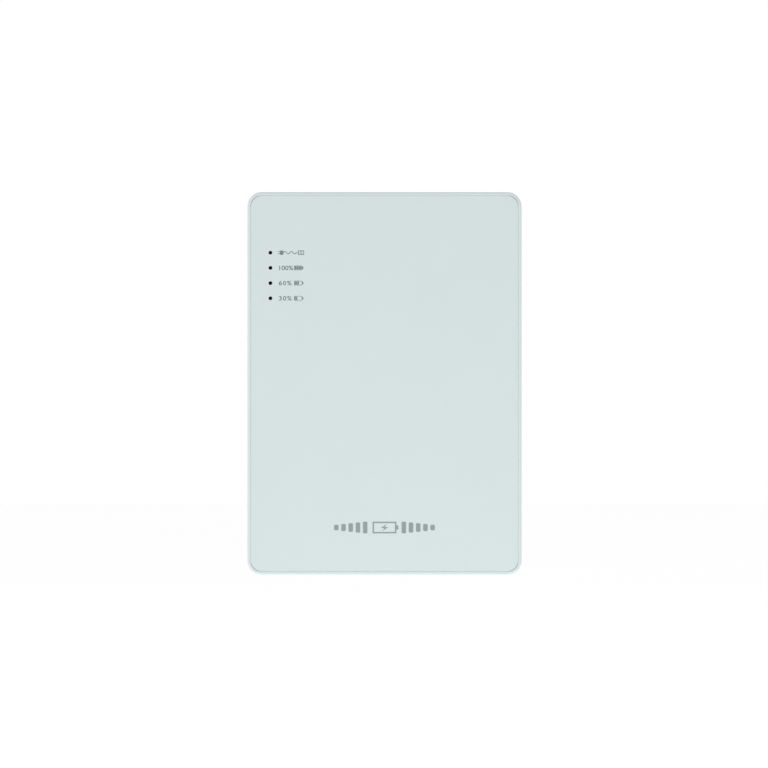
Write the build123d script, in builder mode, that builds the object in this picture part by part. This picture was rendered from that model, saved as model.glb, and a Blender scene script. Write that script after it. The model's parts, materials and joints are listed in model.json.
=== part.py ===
"""Wall-hung backup battery: a flat box that keeps a router running when the mains fails.

It holds four 18650 cells, a mains charger board, an output board with its sockets along the
bottom end, and a strip of four charge lights behind the front cover.

Frame, in millimetres: +Z up, +X to the right of someone facing the unit, +Y into the wall.
The origin lies midway between the two keyhole entry holes, on the rear shell's outer face.
Depths are measured from that face towards the front, so a depth d is at y = -d.
"""

from build123d import *
import os
from math import cos, radians, sin, sqrt, tan

os.makedirs("parts", exist_ok=True)

# ---------------------------------------------------------------- enclosure
WIDTH = 115.0
HEIGHT = 160.5
DEPTH = 27.0
CORNER_R = 6.0
WALL = 2.2
BACK_WALL = 2.0
RIM = 1.35  # what is left of the wall around the cover
SEAM = 0.02  # gap between rim and cover
CORNER_EASE = 0.3  # extra radius on the cover's corners, which opens the seam there
COVER_T = 2.2
COVER_SINK = 0.1  # rim's edge down to the cover's face
RIM_EDGE_R = 0.8
BACK_EDGE_R = 2.5
COVER_EDGE_R = 0.14
LIP_T = 1.2  # locating rib under the cover
LIP_H = 2.5
FIT_GAP = 0.2  # between a moulded part and what it locates in
CUTOUT_GAP = 0.2  # around a socket that stands in a wall
CUTOUT_R = 0.6
RIB_T, RIB_H, RIB_GAP, RIB_SETBACK = 1.3, 5.0, 0.3, 10.0  # ribs around the pack

# ---------------------------------------------------------------- wall fixing
KEYHOLE_DROP = 29.5  # top edge down to the entry holes
KEYHOLE_PITCH = 60.0
ENTRY_R = 4.2
SLOT_R = 2.25
SLOT_RISE = 8.0
HEAD_ROOM = 3.2  # free depth behind the wall for a screw head
HEAD_GAP = 0.9  # between a screw head and its pocket
POCKET_R = 2.0
POCKET_SKIN = 1.2

# ---------------------------------------------------------------- case screws, feet, label
BOSS_INSET = 8.0
BOSS_R = 3.6
BOSS_H = 8.0
POST_R = 3.2
POST_GAP = 0.1  # between a cover post and the boss it meets
POST_SPARE = 1.0  # hole beyond the screw's tip
BOSS_GAP = 2.0  # around a boss, where a board is notched for it
SCREW_R = 1.3
SCREW_L = 10.0
SCREW_HEAD_R = 2.5
SCREW_HEAD_H = 1.8
SCREW_HEAD_EDGE_R = 0.7
SCREW_TIP_L, SCREW_TIP_W = 1.2, 0.9
CROSS_W, CROSS_SLOT, CROSS_H = 2.8, 0.6, 1.0
HEAD_SEAT = 4.2  # depth of the seat under the screw head
SCREW_FIT = 0.15
SCREW_HEAD_FIT = 0.3
THREAD_FIT = 0.02
FOOT_R = 5.0
FOOT_FIT = 0.1
FOOT_EDGE_R = 0.4
FOOT_T = 1.6
FOOT_SINK = 0.6
FOOT_INSET_X = 20.0
FOOT_INSET_Z = 9.0
LABEL_W = 70.0
LABEL_H = 44.0
LABEL_R = 2.0
LABEL_T = 0.2
LABEL_FIT = 0.2
LABEL_SINK = 0.25
LABEL_DROP = 12.0  # middle of the back down to the middle of the label

# ---------------------------------------------------------------- vents
VENT_L = 13.0
VENT_W = 1.8
VENT_PITCH = 4.2
VENT_COUNT = 9
VENT_DROP = 6.0  # middle of the cells down to the middle of the row

# ---------------------------------------------------------------- charge lights
LIGHT_INSET_X = 9.7  # left edge to the column of lights
LIGHT_DROP = 25.4  # top edge to the first light
LIGHT_PITCH = 6.37
LIGHT_COUNT = 4
LIGHT_R = 0.75
LIGHT_HOLE_R = 0.8
LIGHT_SINK = 0.25
GUIDE_W = 5.0
GUIDE_T = 1.0
GUIDE_R = 1.0
GUIDE_SETBACK = 1.7  # stake's middle to the end of the guide
LED_W, LED_H, LED_T = 2.0, 1.25, 0.8
LED_GAP = 0.3
LED_BOARD_W = 9.0
LED_BOARD_T = 1.0
LED_BOARD_R = 0.8
LED_BOARD_MARGIN = 4.2
LED_STAKE_INSET = 1.6
STAKE_R = 0.9
STAKE_FIT = 0.1
STAKE_PROUD = 0.5
STAKE_BASE_R = 1.4

# ---------------------------------------------------------------- cells
CELL_R = 9.2
CELL_L = 65.0
CELL_GAP = 0.4  # between neighbouring cells
CELL_COUNT = 4
CELL_EDGE_R = 0.6
CELL_BUTTON_R = 3.0
CELL_BUTTON_H = 0.8
CELL_GROOVE_DROP, CELL_GROOVE_W, CELL_GROOVE_D = 2.5, 0.7, 0.5
BRACKET_GRIP = 5.0
BRACKET_SKIN = 1.0
BRACKET_MARGIN = 0.8  # beyond the outer cells, sideways
BRACKET_FACE = 0.85  # in front of the cells and behind them
BRACKET_R = 2.0
BRACKET_WINDOW = 1.7  # how far the bracket covers a cell's end
CELL_FIT = 0.15
PACK_CLEAR = 3.4  # output board's upper edge to the cells' lower ends
PACK_EDGE_X = 24.0  # centre line to the pack's right edge
STRIP_W = 8.0
STRIP_T = 0.3
STRIP_FIT = 0.3
SHEET_T = 0.3
SHEET_R = 1.0
SHEET_GAP = 0.05
SHEET_INSET = 2.0
SHEET_END_GAP = 0.3

# ---------------------------------------------------------------- boards
BOARD_T = 1.6
BOARD_HOLE_R = 1.1
BOARD_SCREW_R = 1.0
BOARD_SCREW_L = 4.8
BOARD_SCREW_HEAD_R = 1.9
BOARD_SCREW_HEAD_H = 1.4
BOARD_CROSS_W, BOARD_CROSS_SLOT, BOARD_CROSS_H = 2.2, 0.5, 0.8
STANDOFF_R = 2.6
STANDOFF_FLOOR = 0.4  # left under the screw hole
OUT_STANDOFF = 4.0
OUT_BOARD_H = 39.0
OUT_BOARD_GAP = 0.4  # board edge to the bottom wall
OUT_BOARD_SIDE_GAP = 5.3  # board edge to each side wall
OUT_SCREW_INSET = 4.0
OUT_SCREW_LOW, OUT_SCREW_HIGH = 15.4, 4.6  # from the board's lower and upper edge
MAINS_STANDOFF = 6.2
MAINS_BOARD_INSET = 13.5  # right face to the board's right edge
MAINS_BOARD_W = 84.0
MAINS_BOARD_H = 38.0
MAINS_BOARD_DROP = 3.5
MAINS_SCREW_INSET = 4.0
GUARD_BOARD_W = 12.0
GUARD_BOARD_H = 50.0
GUARD_BOARD_T = 1.0
GUARD_STANDOFF = 3.0
GUARD_POST_R = 2.0
GUARD_GAP = 6.9  # pack to the protection board
GUARD_DROP = 2.0  # middle of the cells down to the middle of the board
GUARD_STAKE_PITCH = 40.0

# ---------------------------------------------------------------- parts on the boards
CHIP_EDGE = 0.2
FET_W, FET_L, FET_RISES = 4.4, 6.2, (9.0, 1.0)
GUARD_IC_W, GUARD_IC_RISE = 3.0, -8.0
GUARD_CHIP_T = 1.2
COIL_W, COIL_H, COIL_R, COIL_EDGE = 10.0, 5.0, 1.2, 0.4
COIL_RISE = 28.4  # board's lower edge to the row of coils
COIL_XS = (-33.0, -13.5, 7.0)
CAN_R, CAN_H, CAN_EDGE_R = 3.2, 11.0, 0.4
CAN_RISE = 19.4  # board's lower edge to the row of capacitors
CAN_XS = (-28.0, -18.0, -8.0, 2.0)
CONVERTER_W, CONVERTER_L, CONVERTER_T = 5.0, 6.0, 1.6
CONVERTER_XS = (-23.2, -3.2, 17.0)
SWITCH_CHIP_X = 18.0
# places on the mains board: from its right edge, and up from its lower edge
FUSE_AT, FUSE_R, FUSE_H, FUSE_EDGE_R = (11.6, 13.0), 4.2, 8.0, 0.6
CHOKE_AT, CHOKE_R, CHOKE_BORE_R, CHOKE_T, CHOKE_LIFT = (23.5, 25.0), 7.0, 3.2, 6.0, 1.0
CHOKE_WIRE, CHOKE_SPLIT = 1.0, 5.2
SAFETY_AT, SAFETY_W, SAFETY_L, SAFETY_H, SAFETY_R = (23.0, 6.5), 13.0, 6.0, 11.0, 0.4
BRIDGE_AT, BRIDGE_W, BRIDGE_L, BRIDGE_H, BRIDGE_EDGE = (11.7, 4.4), 8.4, 6.4, 3.3, 0.4
BULK_AT, BULK_R, BULK_L, BULK_EDGE_R = (39.0, 1.6), 6.3, 22.0, 0.7
BULK_GROOVE_RISE, BULK_GROOVE_W, BULK_GROOVE_D = 2.4, 0.8, 0.5
BULK_SADDLE_W, BULK_SADDLE_L, BULK_SADDLE_H = 4.0, 12.0, 1.0
CORE_AT, CORE_W, CORE_L, CORE_T = (59.5, 15.0), 20.0, 16.0, 5.0
CORE_LEG, CORE_SIDE, CORE_BAR, CORE_LIFT = 5.2, 2.4, 2.4, 7.0
BOBBIN_T, BOBBIN_H, BOBBIN_W = 0.8, 13.6, 14.4
WINDING_INSET, WINDING_H, WINDING_R = 0.5, 12.2, 2.0
SINK_AT, SINK_W, SINK_T, SINK_H = (59.0, 32.2), 22.0, 1.5, 13.0
FIN_T, FIN_L, FIN_PITCH, FIN_COUNT = 1.2, 2.6, 5.2, 5
TRANSISTOR_W, TRANSISTOR_T, TRANSISTOR_L, TRANSISTOR_LIFT, TRANSISTOR_EDGE = 10.0, 4.4, 11.0, 2.0, 0.5
LEG_W, LEG_T, LEG_PITCH = 0.8, 0.5, 2.54
OUTPUT_CAN_INSET, OUTPUT_CAN_RISES = 77.5, (15.5, 26.0)
OUTPUT_CAN_R, OUTPUT_CAN_H, OUTPUT_CAN_EDGE_R = 4.0, 12.5, 0.5

# ---------------------------------------------------------------- sockets along the bottom end
SOCKET_SINK = 0.5  # socket faces below the outer surface
USB_X, JACK_9V_X, JACK_12V_X, SELECTOR_X, POE_X, LAN_X = -35.5, -22.0, -9.5, 2.5, 17.5, 35.0
USB_W, USB_H, USB_L, USB_SHEET, USB_R = 13.14, 5.72, 14.0, 0.32, 0.5
USB_TONGUE_W, USB_TONGUE_T, USB_TONGUE_GAP, USB_TONGUE_SINK, USB_ROOT = 11.1, 1.84, 0.6, 1.0, 3.0
JACK_W, JACK_H, JACK_L, JACK_EDGE_R = 9.0, 11.0, 14.0, 0.5
JACK_BORE_R, JACK_BORE_L, JACK_PIN_R, JACK_PIN_SINK, JACK_PIN_EDGE_R = 3.1, 10.0, 1.0, 1.0, 0.4
JACK_AXIS_RISE = 6.2
JACK_STEP = 1.0
NET_W, NET_H, NET_L, NET_R = 15.9, 13.4, 15.5, 0.4
NET_CAVITY_W, NET_CAVITY_H, NET_CAVITY_L, NET_CAVITY_RISE = 11.8, 7.2, 13.0, 3.6
NET_LATCH_W, NET_LATCH_H, NET_TAB_W, NET_TAB_H = 6.2, 1.4, 3.9, 1.2
NET_WIRES, NET_WIRE_PITCH, NET_WIRE_W = 8, 1.02, 0.45
NET_WIRE_START, NET_WIRE_BEND, NET_WIRE_END, NET_WIRE_DROP = 1.6, 3.6, 10.4, 2.0
SELECTOR_W, SELECTOR_H, SELECTOR_L = 8.6, 4.0, 4.5
SELECTOR_TRAVEL = 2.0
SELECTOR_GAP, SELECTOR_SKIN = 0.3, 0.6
CARRIAGE_W, CARRIAGE_H, CARRIAGE_T = 3.4, 2.8, 1.2
KNOB_W, KNOB_SINK, KNOB_EDGE = 2.2, 0.3, 0.25
KNOB_GAP = 0.2
KNOB_WINDOW = 0.7  # around the knob, in the wall

# ---------------------------------------------------------------- mains inlet and rocker on the right side
INLET_DROP = 23.0
INLET_L, INLET_H, INLET_REACH, INLET_R = 21.0, 10.4, 20.0, 1.0
INLET_SINK = 0.4
INLET_PIN_PITCH, INLET_PIN_R, INLET_PIN_EDGE_R = 8.6, 1.18, 0.6
INLET_LOBE_R, INLET_WAIST, INLET_RECESS = 4.1, 6.4, 11.5
INLET_PIN_SINK, INLET_TAIL = 2.0, 0.4
ROCKER_DROP = 50.0
ROCKER_TILT = 9.0  # either side of level
ROCKER_R = 6.15
ROCKER_HALF_W = 3.5
ROCKER_END_RISE, ROCKER_VALLEY_RISE, ROCKER_BELLY, ROCKER_TIP_R = 3.4, 2.7, 2.6, 0.5
PIVOT_R, PIVOT_L, PIVOT_FIT = 0.95, 1.0, 0.05
ROCKER_RECESS = 2.0  # bezel face below the outer surface
BEZEL_T = 1.4
BEZEL_L, BEZEL_W, BEZEL_R = 16.4, 11.2, 0.8
BEZEL_BODY_L, BEZEL_BODY_W, BEZEL_BODY_FIT = 14.4, 9.6, 0.1
BEZEL_CAVITY_L, BEZEL_CAVITY_W = 12.7, 7.5
POCKET_FLOOR, POCKET_WALL = 1.6, 1.2
POCKET_GAP = 0.3
POCKET_CLEAR = 0.1  # pocket to the cover's rib
PIVOT_INSET = 4.26  # outer surface to the pivot
ROCKER_ROOM = 4.0  # free depth behind the pivot
HOUSING_FLOOR = 1.5
TAB_L, TAB_W, TAB_T, TAB_PITCH = 4.0, 2.4, 0.5, 8.0

# ---------------------------------------------------------------- wiring
LEAD_R = 0.8
LEAD_CLEAR = 0.6  # between the supply leads and the cell leads that cross them
CABLE_R = 0.75
HEADER_W, HEADER_L, HEADER_H = 6.0, 5.0, 6.0
HEADER_PITCH = 2.5
SUPPLY_FROM_INSET = (10.5, 4.0)  # mains board's left and lower edges to its header
SUPPLY_TO_INSET = (3.4, 5.6)  # pack's right edge and the output board's upper edge to its header
BATTERY_STEP = 9.1  # from one of those headers to the next
SWITCH_TO_INSET = (6.2, 13.1)  # output board's right and upper edges to its header
LIGHTS_TO_INSET = (4.5, 17.1)  # output board's left and upper edges to its header
LIGHTS_FROM_DROP = 8.5  # middle of the lights down to their header
STRIP_TAB = 3.6  # how far a cell strip's solder tab stands up
STRIP_TAB_W = 3.0
PAD_W, PAD_L, PAD_H = 2.4, 3.0, 2.0
PAD_PITCH = 7.0
PAD_INSET = 1.0
CHANNEL_DROP = 2.4  # mains board's lower edge to the leads below it
TAB_RISE = 2.4  # cells' upper ends to the leads on their tabs
SUPPLY_STEP = 2.2  # one supply lead below the other
SUPPLY_KNEES = (10.4, 3.4)  # above the output board
CELL_KNEES = (5.5, 6.5)  # above the protection board
BATTERY_KNEES = (4.0, 4.4)  # below the protection board, and above the header
SWITCH_INSET = 19.25  # right face to the switch leads
SWITCH_KNEES = (7.4, 7.0)  # above the output board, and above the header
CABLE_KNEE_DROP = 2.5  # cells' lower ends to where the cable leaves the wall
CABLE_KNEE = (5.0, 2.4, 5.6)  # off the wall, in front of the header, below the board's edge
CABLE_END_RISE = 5.0
BEND_SHARE = 0.45  # of the shorter run beside a bend
BEND_ROOM = 4.0  # largest bend beside the corner of the pack
BEND_MOST = 30.0

# ---------------------------------------------------------------- derived places
TOP = KEYHOLE_DROP
BOTTOM = TOP - HEIGHT
MIDDLE = (TOP + BOTTOM) / 2
RIGHT = WIDTH / 2
LEFT = -RIGHT
COVER_IN = DEPTH - COVER_SINK - COVER_T  # depth of the cover's inner face
SOCKET_FACE = BOTTOM + SOCKET_SINK
OUT_BACK = BACK_WALL + OUT_STANDOFF
OUT_FACE = OUT_BACK + BOARD_T
OUT_LOW = BOTTOM + WALL + OUT_BOARD_GAP
OUT_HIGH = OUT_LOW + OUT_BOARD_H
OUT_BOARD_W = WIDTH - 2 * (WALL + OUT_BOARD_SIDE_GAP)
OUT_NOTCH_W = OUT_BOARD_W / 2 - (RIGHT - BOSS_INSET - BOSS_R - BOSS_GAP)
OUT_NOTCH_H = BOTTOM + BOSS_INSET + BOSS_R + BOSS_GAP - OUT_LOW
MAINS_BACK = BACK_WALL + MAINS_STANDOFF
MAINS_FACE = MAINS_BACK + BOARD_T
MAINS_HIGH = TOP - MAINS_BOARD_DROP
MAINS_LOW = MAINS_HIGH - MAINS_BOARD_H
MAINS_BOARD_RIGHT = RIGHT - MAINS_BOARD_INSET
MAINS_BOARD_LEFT = MAINS_BOARD_RIGHT - MAINS_BOARD_W
GUARD_BACK = BACK_WALL + GUARD_STANDOFF
GUARD_FACE = GUARD_BACK + GUARD_BOARD_T
INLET_Z = TOP - INLET_DROP
INLET_DEPTH = MAINS_FACE + INLET_H / 2
ROCKER_Z = TOP - ROCKER_DROP
BOSS_TOP = BACK_WALL + BOSS_H
LIGHT_X = LEFT + LIGHT_INSET_X
LIGHT_ZS = [TOP - LIGHT_DROP - LIGHT_PITCH * i for i in range(LIGHT_COUNT)]
LIGHT_MID = (LIGHT_ZS[0] + LIGHT_ZS[-1]) / 2
GUIDE_BACK = COVER_IN - GUIDE_T
LED_BOARD_FACE = GUIDE_BACK - LED_GAP - LED_T
LED_BOARD_H = LIGHT_PITCH * (LIGHT_COUNT - 1) + 2 * LED_BOARD_MARGIN
CELL_LOW = OUT_HIGH + PACK_CLEAR
CELL_HIGH = CELL_LOW + CELL_L
CELL_MID = (CELL_LOW + CELL_HIGH) / 2
CELL_PITCH = 2 * CELL_R + CELL_GAP
BRACKET_DEPTH = 2 * (CELL_R + CELL_FIT + BRACKET_FACE)
PACK_W = CELL_PITCH * (CELL_COUNT - 1) + 2 * (CELL_R + CELL_FIT + BRACKET_MARGIN)
PACK_RIGHT = PACK_EDGE_X
PACK_X = PACK_RIGHT - PACK_W / 2
CELL_XS = [PACK_X + CELL_PITCH * (i - (CELL_COUNT - 1) / 2) for i in range(CELL_COUNT)]
CELL_DEPTH = BACK_WALL + FIT_GAP + BRACKET_DEPTH / 2
PLUS_DEPTH = CELL_DEPTH + 2 * LEAD_R + LEAD_CLEAR
MINUS_DEPTH = CELL_DEPTH - 2 * LEAD_R - LEAD_CLEAR
GUARD_X = PACK_RIGHT + GUARD_GAP + GUARD_BOARD_W / 2
GUARD_Z = CELL_MID - GUARD_DROP
CORNERS = [
    (x, z)
    for x in (LEFT + BOSS_INSET, RIGHT - BOSS_INSET)
    for z in (BOTTOM + BOSS_INSET, TOP - BOSS_INSET)
]
HOUSING_BACK = PIVOT_INSET + ROCKER_ROOM + HOUSING_FLOOR
OUT_SCREWS = [
    (x, z)
    for x in (OUT_SCREW_INSET - OUT_BOARD_W / 2, OUT_BOARD_W / 2 - OUT_SCREW_INSET)
    for z in (OUT_LOW + OUT_SCREW_LOW, OUT_HIGH - OUT_SCREW_HIGH)
]
MAINS_SCREWS = [
    (x, z)
    for x in (MAINS_BOARD_LEFT + MAINS_SCREW_INSET, MAINS_BOARD_RIGHT - MAINS_SCREW_INSET)
    for z in (MAINS_LOW + MAINS_SCREW_INSET, MAINS_HIGH - MAINS_SCREW_INSET)
]
GUARD_STAKES = [(GUARD_X, GUARD_Z + way * GUARD_STAKE_PITCH / 2) for way in (-1, 1)]
LED_STAKES = [(LIGHT_X, LIGHT_MID + way * (LED_BOARD_H / 2 - LED_STAKE_INSET)) for way in (-1, 1)]


def front(depth):
    """A plane at this depth that faces the front: local x is X and local y is Z."""
    return Plane.XZ.offset(depth)


def end(rise):
    """A plane this far above the bottom edge that faces down: local x is X and local y is depth."""
    return Plane(origin=(0, 0, BOTTOM + rise), x_dir=(1, 0, 0), z_dir=(0, 0, -1))


def side(inset):
    """A plane this far inside the right face that faces right: local x is Z and local y is depth."""
    return Plane(origin=(RIGHT - inset, 0, 0), x_dir=(0, 0, 1), z_dir=(1, 0, 0))


def on_mains(inset, rise):
    """A place on the mains board, this far from its right edge and above its lower edge."""
    return (MAINS_BOARD_RIGHT - inset, MAINS_LOW + rise)


def keep(piece, name):
    """Labels a finished piece and writes its STEP file."""
    piece.part.label = name
    export_step(piece.part, f"parts/{name}.step")


# ================================================================ rear shell
FOOT_PLACES = [
    (x, z)
    for x in (LEFT + FOOT_INSET_X, RIGHT - FOOT_INSET_X)
    for z in (BOTTOM + FOOT_INSET_Z, TOP - FOOT_INSET_Z)
]
LABEL_Z = MIDDLE - LABEL_DROP
POCKET_W = 2 * (ENTRY_R + HEAD_GAP)
POCKET_L = POCKET_W + SLOT_RISE
ROCKER_POCKET = ROCKER_RECESS + BEZEL_T
ROCKER_DEPTH = COVER_IN - LIP_H - POCKET_CLEAR - POCKET_WALL - POCKET_GAP - BEZEL_W / 2

with BuildPart() as rear_shell:
    with BuildSketch(front(0)):
        with Locations((0, MIDDLE)):
            RectangleRounded(WIDTH, HEIGHT, CORNER_R)
    extrude(amount=DEPTH)
    fillet(rear_shell.faces().sort_by(Axis.Y)[-1].edges(), BACK_EDGE_R)
    fillet(rear_shell.faces().sort_by(Axis.Y)[0].edges(), RIM_EDGE_R)
    # the room inside, and the step that the cover sits on
    with BuildSketch(front(BACK_WALL)):
        with Locations((0, MIDDLE)):
            RectangleRounded(WIDTH - 2 * WALL, HEIGHT - 2 * WALL, CORNER_R - WALL)
    extrude(amount=DEPTH - BACK_WALL, mode=Mode.SUBTRACT)
    with BuildSketch(front(COVER_IN)):
        with Locations((0, MIDDLE)):
            RectangleRounded(WIDTH - 2 * RIM, HEIGHT - 2 * RIM, CORNER_R - RIM)
    extrude(amount=COVER_T + COVER_SINK, mode=Mode.SUBTRACT)
    # bosses for the case screws and standoffs for the boards
    with BuildSketch(front(BACK_WALL)):
        with Locations(*CORNERS):
            Circle(BOSS_R)
    extrude(amount=BOSS_H)
    with BuildSketch(front(BACK_WALL)):
        with Locations(*OUT_SCREWS):
            Circle(STANDOFF_R)
    extrude(amount=OUT_STANDOFF)
    with BuildSketch(front(BACK_WALL)):
        with Locations(*MAINS_SCREWS):
            Circle(STANDOFF_R)
    extrude(amount=MAINS_STANDOFF)
    with BuildSketch(front(BACK_WALL)):
        with Locations(*GUARD_STAKES):
            Circle(GUARD_POST_R)
    extrude(amount=GUARD_STANDOFF)
    with BuildSketch(front(GUARD_BACK)):
        with Locations(*GUARD_STAKES):
            Circle(STAKE_R)
    extrude(amount=GUARD_BOARD_T + STAKE_PROUD)
    # ribs that hold the pack sideways and endways
    with BuildSketch(front(BACK_WALL)):
        with Locations((PACK_RIGHT + RIB_GAP + RIB_T / 2, CELL_MID)):
            Rectangle(RIB_T, CELL_L - 2 * RIB_SETBACK)
        for way in (-1, 1):
            with Locations((PACK_X, CELL_MID + way * (CELL_L / 2 + BRACKET_SKIN + RIB_GAP + RIB_T / 2))):
                Rectangle(PACK_W - 2 * RIB_SETBACK, RIB_T)
    extrude(amount=RIB_H)
    # keyhole pockets, closed inside so that a wall screw meets no wiring
    with BuildSketch(front(BACK_WALL)):
        for x in (-KEYHOLE_PITCH / 2, KEYHOLE_PITCH / 2):
            with Locations((x, SLOT_RISE / 2)):
                RectangleRounded(
                    POCKET_W + 2 * POCKET_SKIN, POCKET_L + 2 * POCKET_SKIN, POCKET_R + POCKET_SKIN
                )
    extrude(amount=HEAD_ROOM + POCKET_SKIN)
    with BuildSketch(front(BACK_WALL)):
        for x in (-KEYHOLE_PITCH / 2, KEYHOLE_PITCH / 2):
            with Locations((x, SLOT_RISE / 2)):
                RectangleRounded(POCKET_W, POCKET_L, POCKET_R)
    extrude(amount=HEAD_ROOM, mode=Mode.SUBTRACT)
    with BuildSketch(front(0)):
        for x in (-KEYHOLE_PITCH / 2, KEYHOLE_PITCH / 2):
            with Locations((x, 0)):
                Circle(ENTRY_R)
            with Locations((x, SLOT_RISE / 2)):
                Rectangle(2 * SLOT_R, SLOT_RISE)
            with Locations((x, SLOT_RISE)):
                Circle(SLOT_R)
    extrude(amount=BACK_WALL, mode=Mode.SUBTRACT)
    # screw holes
    with Locations(*[Location((x, 0, z), (90, 0, 0)) for x, z in CORNERS]):
        CounterBoreHole(SCREW_R + SCREW_FIT, SCREW_HEAD_R + SCREW_HEAD_FIT, HEAD_SEAT, BOSS_TOP)
    with BuildSketch(front(OUT_BACK)):
        with Locations(*OUT_SCREWS):
            Circle(BOARD_SCREW_R + THREAD_FIT)
    extrude(amount=-(OUT_STANDOFF - STANDOFF_FLOOR), mode=Mode.SUBTRACT)
    with BuildSketch(front(MAINS_BACK)):
        with Locations(*MAINS_SCREWS):
            Circle(BOARD_SCREW_R + THREAD_FIT)
    extrude(amount=-(MAINS_STANDOFF - STANDOFF_FLOOR), mode=Mode.SUBTRACT)
    # seats for the feet and the label
    with BuildSketch(front(0)):
        with Locations(*FOOT_PLACES):
            Circle(FOOT_R + FOOT_FIT)
    extrude(amount=FOOT_SINK, mode=Mode.SUBTRACT)
    with BuildSketch(front(0)):
        with Locations((0, LABEL_Z)):
            RectangleRounded(LABEL_W + 2 * LABEL_FIT, LABEL_H + 2 * LABEL_FIT, LABEL_R + LABEL_FIT)
    extrude(amount=LABEL_SINK, mode=Mode.SUBTRACT)
    # socket openings in the bottom end
    with BuildSketch(end(0)):
        with Locations((USB_X, OUT_FACE + USB_H / 2)):
            RectangleRounded(USB_W + 2 * CUTOUT_GAP, USB_H + 2 * CUTOUT_GAP, CUTOUT_R)
        for x in (JACK_9V_X, JACK_12V_X):
            with Locations((x, OUT_FACE + JACK_H / 2)):
                RectangleRounded(JACK_W + 2 * CUTOUT_GAP, JACK_H + 2 * CUTOUT_GAP, CUTOUT_R)
        for x in (POE_X, LAN_X):
            with Locations((x, OUT_FACE + NET_H / 2)):
                RectangleRounded(NET_W + 2 * CUTOUT_GAP, NET_H + 2 * CUTOUT_GAP, CUTOUT_R)
        with Locations((SELECTOR_X, OUT_FACE + SELECTOR_H / 2)):
            RectangleRounded(
                KNOB_W + SELECTOR_TRAVEL + 2 * KNOB_WINDOW, KNOB_W + 2 * KNOB_WINDOW, CUTOUT_R
            )
    extrude(amount=-WALL, mode=Mode.SUBTRACT)
    # mains inlet opening, and the sunk pocket for the rocker
    with BuildSketch(side(0)):
        with Locations((INLET_Z, INLET_DEPTH)):
            RectangleRounded(
                INLET_L + 2 * CUTOUT_GAP, INLET_H + 2 * CUTOUT_GAP, INLET_R + CUTOUT_GAP
            )
    extrude(amount=-WALL, mode=Mode.SUBTRACT)
    with BuildSketch(side(WALL)):
        with Locations((ROCKER_Z, ROCKER_DEPTH)):
            RectangleRounded(
                BEZEL_L + 2 * (POCKET_GAP + POCKET_WALL),
                BEZEL_W + 2 * (POCKET_GAP + POCKET_WALL),
                BEZEL_R + POCKET_GAP + POCKET_WALL,
            )
    extrude(amount=-(ROCKER_POCKET + POCKET_FLOOR - WALL))
    with BuildSketch(side(0)):
        with Locations((ROCKER_Z, ROCKER_DEPTH)):
            RectangleRounded(BEZEL_L + 2 * POCKET_GAP, BEZEL_W + 2 * POCKET_GAP, BEZEL_R + POCKET_GAP)
    extrude(amount=-ROCKER_POCKET, mode=Mode.SUBTRACT)
    with BuildSketch(side(ROCKER_POCKET)):
        with Locations((ROCKER_Z, ROCKER_DEPTH)):
            Rectangle(BEZEL_BODY_L + 2 * BEZEL_BODY_FIT, BEZEL_BODY_W + 2 * BEZEL_BODY_FIT)
    extrude(amount=-POCKET_FLOOR, mode=Mode.SUBTRACT)
    # cooling slots through both long sides
    with BuildSketch(side(0)):
        with Locations((CELL_MID - VENT_DROP, DEPTH / 2)):
            with GridLocations(VENT_PITCH, 0, VENT_COUNT, 1):
                SlotOverall(VENT_L, VENT_W, rotation=90)
    extrude(amount=-WALL, mode=Mode.SUBTRACT)
    with BuildSketch(side(WIDTH - WALL)):
        with Locations((CELL_MID - VENT_DROP, DEPTH / 2)):
            with GridLocations(VENT_PITCH, 0, VENT_COUNT, 1):
                SlotOverall(VENT_L, VENT_W, rotation=90)
    extrude(amount=-WALL, mode=Mode.SUBTRACT)
keep(rear_shell, "rear_shell")

# ================================================================ front cover
COVER_INSET = RIM + SEAM
LIP_INSET = WALL + FIT_GAP
with BuildPart() as front_cover:
    with BuildSketch(front(COVER_IN)):
        with Locations((0, MIDDLE)):
            RectangleRounded(
                WIDTH - 2 * COVER_INSET,
                HEIGHT - 2 * COVER_INSET,
                CORNER_R - COVER_INSET + CORNER_EASE,
            )
    extrude(amount=COVER_T)
    fillet(front_cover.faces().sort_by(Axis.Y)[0].edges(), COVER_EDGE_R)
    # locating rib that drops inside the walls
    with BuildSketch(front(COVER_IN)):
        with Locations((0, MIDDLE)):
            RectangleRounded(WIDTH - 2 * LIP_INSET, HEIGHT - 2 * LIP_INSET, CORNER_R - LIP_INSET)
            RectangleRounded(
                WIDTH - 2 * (LIP_INSET + LIP_T),
                HEIGHT - 2 * (LIP_INSET + LIP_T),
                CORNER_R - LIP_INSET - LIP_T,
                mode=Mode.SUBTRACT,
            )
    extrude(amount=-LIP_H)
    # posts that take the case screws
    with BuildSketch(front(COVER_IN)):
        with Locations(*CORNERS):
            Circle(POST_R)
    extrude(amount=-(COVER_IN - BOSS_TOP - POST_GAP))
    with BuildSketch(front(BOSS_TOP + POST_GAP)):
        with Locations(*CORNERS):
            Circle(SCREW_R + THREAD_FIT)
    extrude(amount=HEAD_SEAT + SCREW_L - BOSS_TOP + POST_SPARE, mode=Mode.SUBTRACT)
    # stakes that carry the light board
    with BuildSketch(front(COVER_IN)):
        with Locations(*LED_STAKES):
            Circle(STAKE_BASE_R)
    extrude(amount=-(COVER_IN - LED_BOARD_FACE))
    with BuildSketch(front(LED_BOARD_FACE)):
        with Locations(*LED_STAKES):
            Circle(STAKE_R)
    extrude(amount=-(LED_BOARD_T + STAKE_PROUD))
    # holes for the four lights
    with BuildSketch(front(COVER_IN)):
        with Locations(*[(LIGHT_X, z) for z in LIGHT_ZS]):
            Circle(LIGHT_HOLE_R)
    extrude(amount=COVER_T, mode=Mode.SUBTRACT)
keep(front_cover, "front_cover")

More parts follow.
